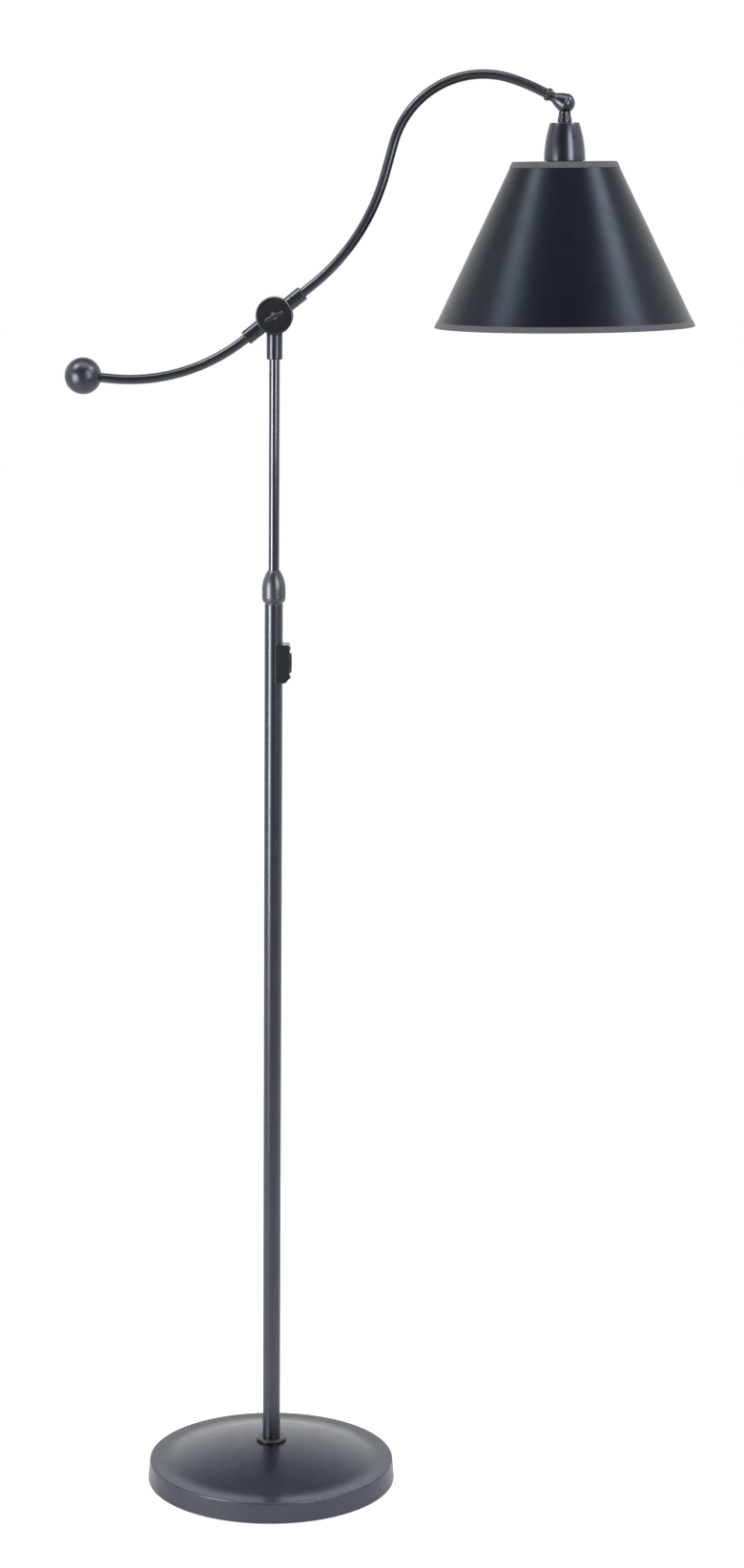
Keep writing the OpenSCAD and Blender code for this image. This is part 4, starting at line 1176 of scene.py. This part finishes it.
def tape(edge, inner):
    """Folded tape over an edge of the shade, crowned a little and closed round the edge."""
    fold, crown, sunk, layer, steps = 0.25, 0.06, 0.12, 0.38, 8
    turn_in = copysign(SKIN_DEPTH, inner - edge)
    downs = [inner + (edge - inner) * i / steps for i in range(steps + 1)]

    def at(down, depth):
        return shade_r(down) - depth, -down

    outline = [at(down, sunk - crown * sin(pi * i / steps)) for i, down in enumerate(downs[:-1])]
    outline += [at(edge, sunk + fold), at(edge, TAPE_BODY + layer - fold)]
    outline += [at(down, TAPE_BODY + layer) for down in downs[-2::-1]]
    outline += [at(inner, TAPE_BODY), at(edge + turn_in, TAPE_BODY), at(edge + turn_in, SKIN_DEPTH),
                at(inner, SKIN_DEPTH)]
    return lathe(outline, 320)


for name, edge, width, node in (("top_tape", SHADE_TOP_DOWN, TAPE_WIDTH, "top_trim"),
                                ("bottom_tape", SHADE_BOTTOM_DOWN, -TAPE_WIDTH, "bottom_trim")):
    place(name, tape(edge, edge + width), "head", "trim_tape", [node], HEAD, wear=False)


# ---- bulb and socket

def bulb_screw():
    """The bulb's cap, with its rolled thread and its contact."""
    top, bottom, r, depth, pitch, rows = 39.9, 66.8, 13.0, 0.75, 3.6, 90
    side = [(r, -bottom + 2.2 + (bottom - top - 7.4) * i / rows) for i in range(rows + 1)]
    contact = [(11.0, -top - 4.4), (6.0, -top - 3.2), (4.4, -top - 1.4), (4.2, -top), (0, -top)]

    def thread(rr, z, angle):
        if rr > r - 0.01:
            rr = r - depth * (0.5 + 0.5 * cos(2 * pi * z / pitch - angle))
        return rr, z

    return lathe([(0, -bottom), (12.2, -bottom)] + side + contact, 96, thread)


place("bulb_screw_cap", bulb_screw(), "head", "bulb_cap", ["bulb_base"], HEAD, sharp=60)


# ---- camera, floor and light

CAMERA_PLACE = (0.10453, -3.54953, 1.43712)
CAMERA_PITCH, CAMERA_ROLL = radians(90 - 10.556), radians(0.476)
camera_data = bpy.data.cameras.new("camera")
camera = in_scene("camera", camera_data)
scene.camera = camera
camera_data.sensor_width = 36
camera_data.lens = 78.30
camera_data.clip_end = 100
camera.matrix_world = (Matrix.Translation(CAMERA_PLACE) @ Matrix.Rotation(CAMERA_PITCH, 4, "X")
                       @ Matrix.Rotation(CAMERA_ROLL, 4, "Z"))
WHITE = (1, 1, 1, 1)


def seen_or_lit(tree, seen, lit):
    """A shader that the camera sees as one thing, and that light and reflections meet as another."""
    choose = new_node(tree, "MixShader")
    tree.links.new(new_node(tree, "LightPath").outputs["Is Camera Ray"], choose.inputs[0])
    tree.links.new(lit.outputs[0], choose.inputs[1])
    tree.links.new(seen.outputs[0], choose.inputs[2])
    return choose.outputs[0]


def stage_floor():
    """Pale floor, white to the camera. What the lamp reflects of it is dimmer in front than behind."""
    size = 40
    mesh = bpy.data.meshes.new("floor")
    corners = [(x * size, y * size, 0) for x, y in ((-1, -1), (1, -1), (1, 1), (-1, 1))]
    mesh.from_pydata(corners, [], [(0, 1, 2, 3)])
    floor = in_scene("floor", mesh)
    look = Look("floor_paint", Emission_Color=WHITE, Emission_Strength=0.6)
    look.colour(look.between(look.noise(3, 3), (0.76, 0.76, 0.76), (0.80, 0.80, 0.80)))
    look.uneven(20, 3, 0.75, 0.85)
    room = look.node("BsdfPrincipled", Base_Color=(0.4, 0.4, 0.41, 1), Roughness=0.85, Emission_Color=WHITE)
    look.link(look.remap(look.split()[1], 0.08, 0.6, -1.2, 0.2), room.inputs["Emission Strength"])
    look.link(seen_or_lit(look.tree, look.shader, room), look.output.inputs["Surface"])
    mesh.materials.append(look.material)


stage_floor()


def studio_world():
    """White backdrop behind and beside the lamp. The room is dim above and on the front side."""
    world = bpy.data.worlds.new("studio")
    scene.world = world
    world.use_nodes = True
    tree = world.node_tree
    tree.nodes.clear()
    where = new_node(tree, "TexCoord").outputs["Generated"]

    def fade(source, start, end, low, high):
        n = new_node(tree, "MapRange", From_Min=start, From_Max=end, To_Min=low, To_Max=high)
        n.interpolation_type = "SMOOTHSTEP"
        tree.links.new(source, n.inputs["Value"])
        return n.outputs["Result"]

    dot = new_node(tree, "VectorMath")
    dot.operation = "DOT_PRODUCT"
    dot.inputs[1].default_value = (0.03, -0.93, 0.36)
    tree.links.new(where, dot.inputs[0])
    height = new_node(tree, "SeparateXYZ")
    tree.links.new(where, height.inputs[0])
    level = new_node(tree, "Math")
    level.operation = "MULTIPLY"
    tree.links.new(fade(dot.outputs["Value"], 0.25, 0.85, 1.1, 0.2), level.inputs[0])
    tree.links.new(fade(height.outputs[2], 0.35, 0.85, 1.0, 0.35), level.inputs[1])
    room = new_node(tree, "Background", Color=(0.96, 0.975, 1.0, 1))
    tree.links.new(level.outputs[0], room.inputs["Strength"])
    seen = new_node(tree, "Background", Color=WHITE, Strength=1.05)
    tree.links.new(seen_or_lit(tree, seen, room), new_node(tree, "OutputWorld").inputs["Surface"])


studio_world()


def softbox(name, location, target, width, height, power):
    data = bpy.data.lights.new(name, "AREA")
    data.shape, data.size, data.size_y = "RECTANGLE", width, height
    data.energy = power
    lamp = in_scene(name, data)
    lamp.location = location
    lamp.rotation_euler = (Vector(target) - Vector(location)).to_track_quat("-Z", "Y").to_euler()
    lamp.visible_camera = False


for light in (("softbox_left", (-1.69, -1.41, 0.84), (0, 0, 0.95), 0.95, 1.3, 36),
              ("softbox_right", (1.48, -1.9, 1.75), (0, 0, 1.35), 0.9, 1.7, 28),
              ("softbox_top", (0.0, -0.5, 3.6), (0.05, 0, 0.8), 2.0, 1.6, 22),
              ("softbox_high_left", (-1.85, -0.55, 3.7), (0.3, 0, 1.35), 1.0, 1.2, 36),
              ("softbox_high_right", (2.45, -0.6, 3.7), (0.3, 0, 1.35), 1.0, 1.2, 46)):
    softbox(*light)

scene.view_settings.view_transform = "Standard"
scene.view_settings.look = "None"
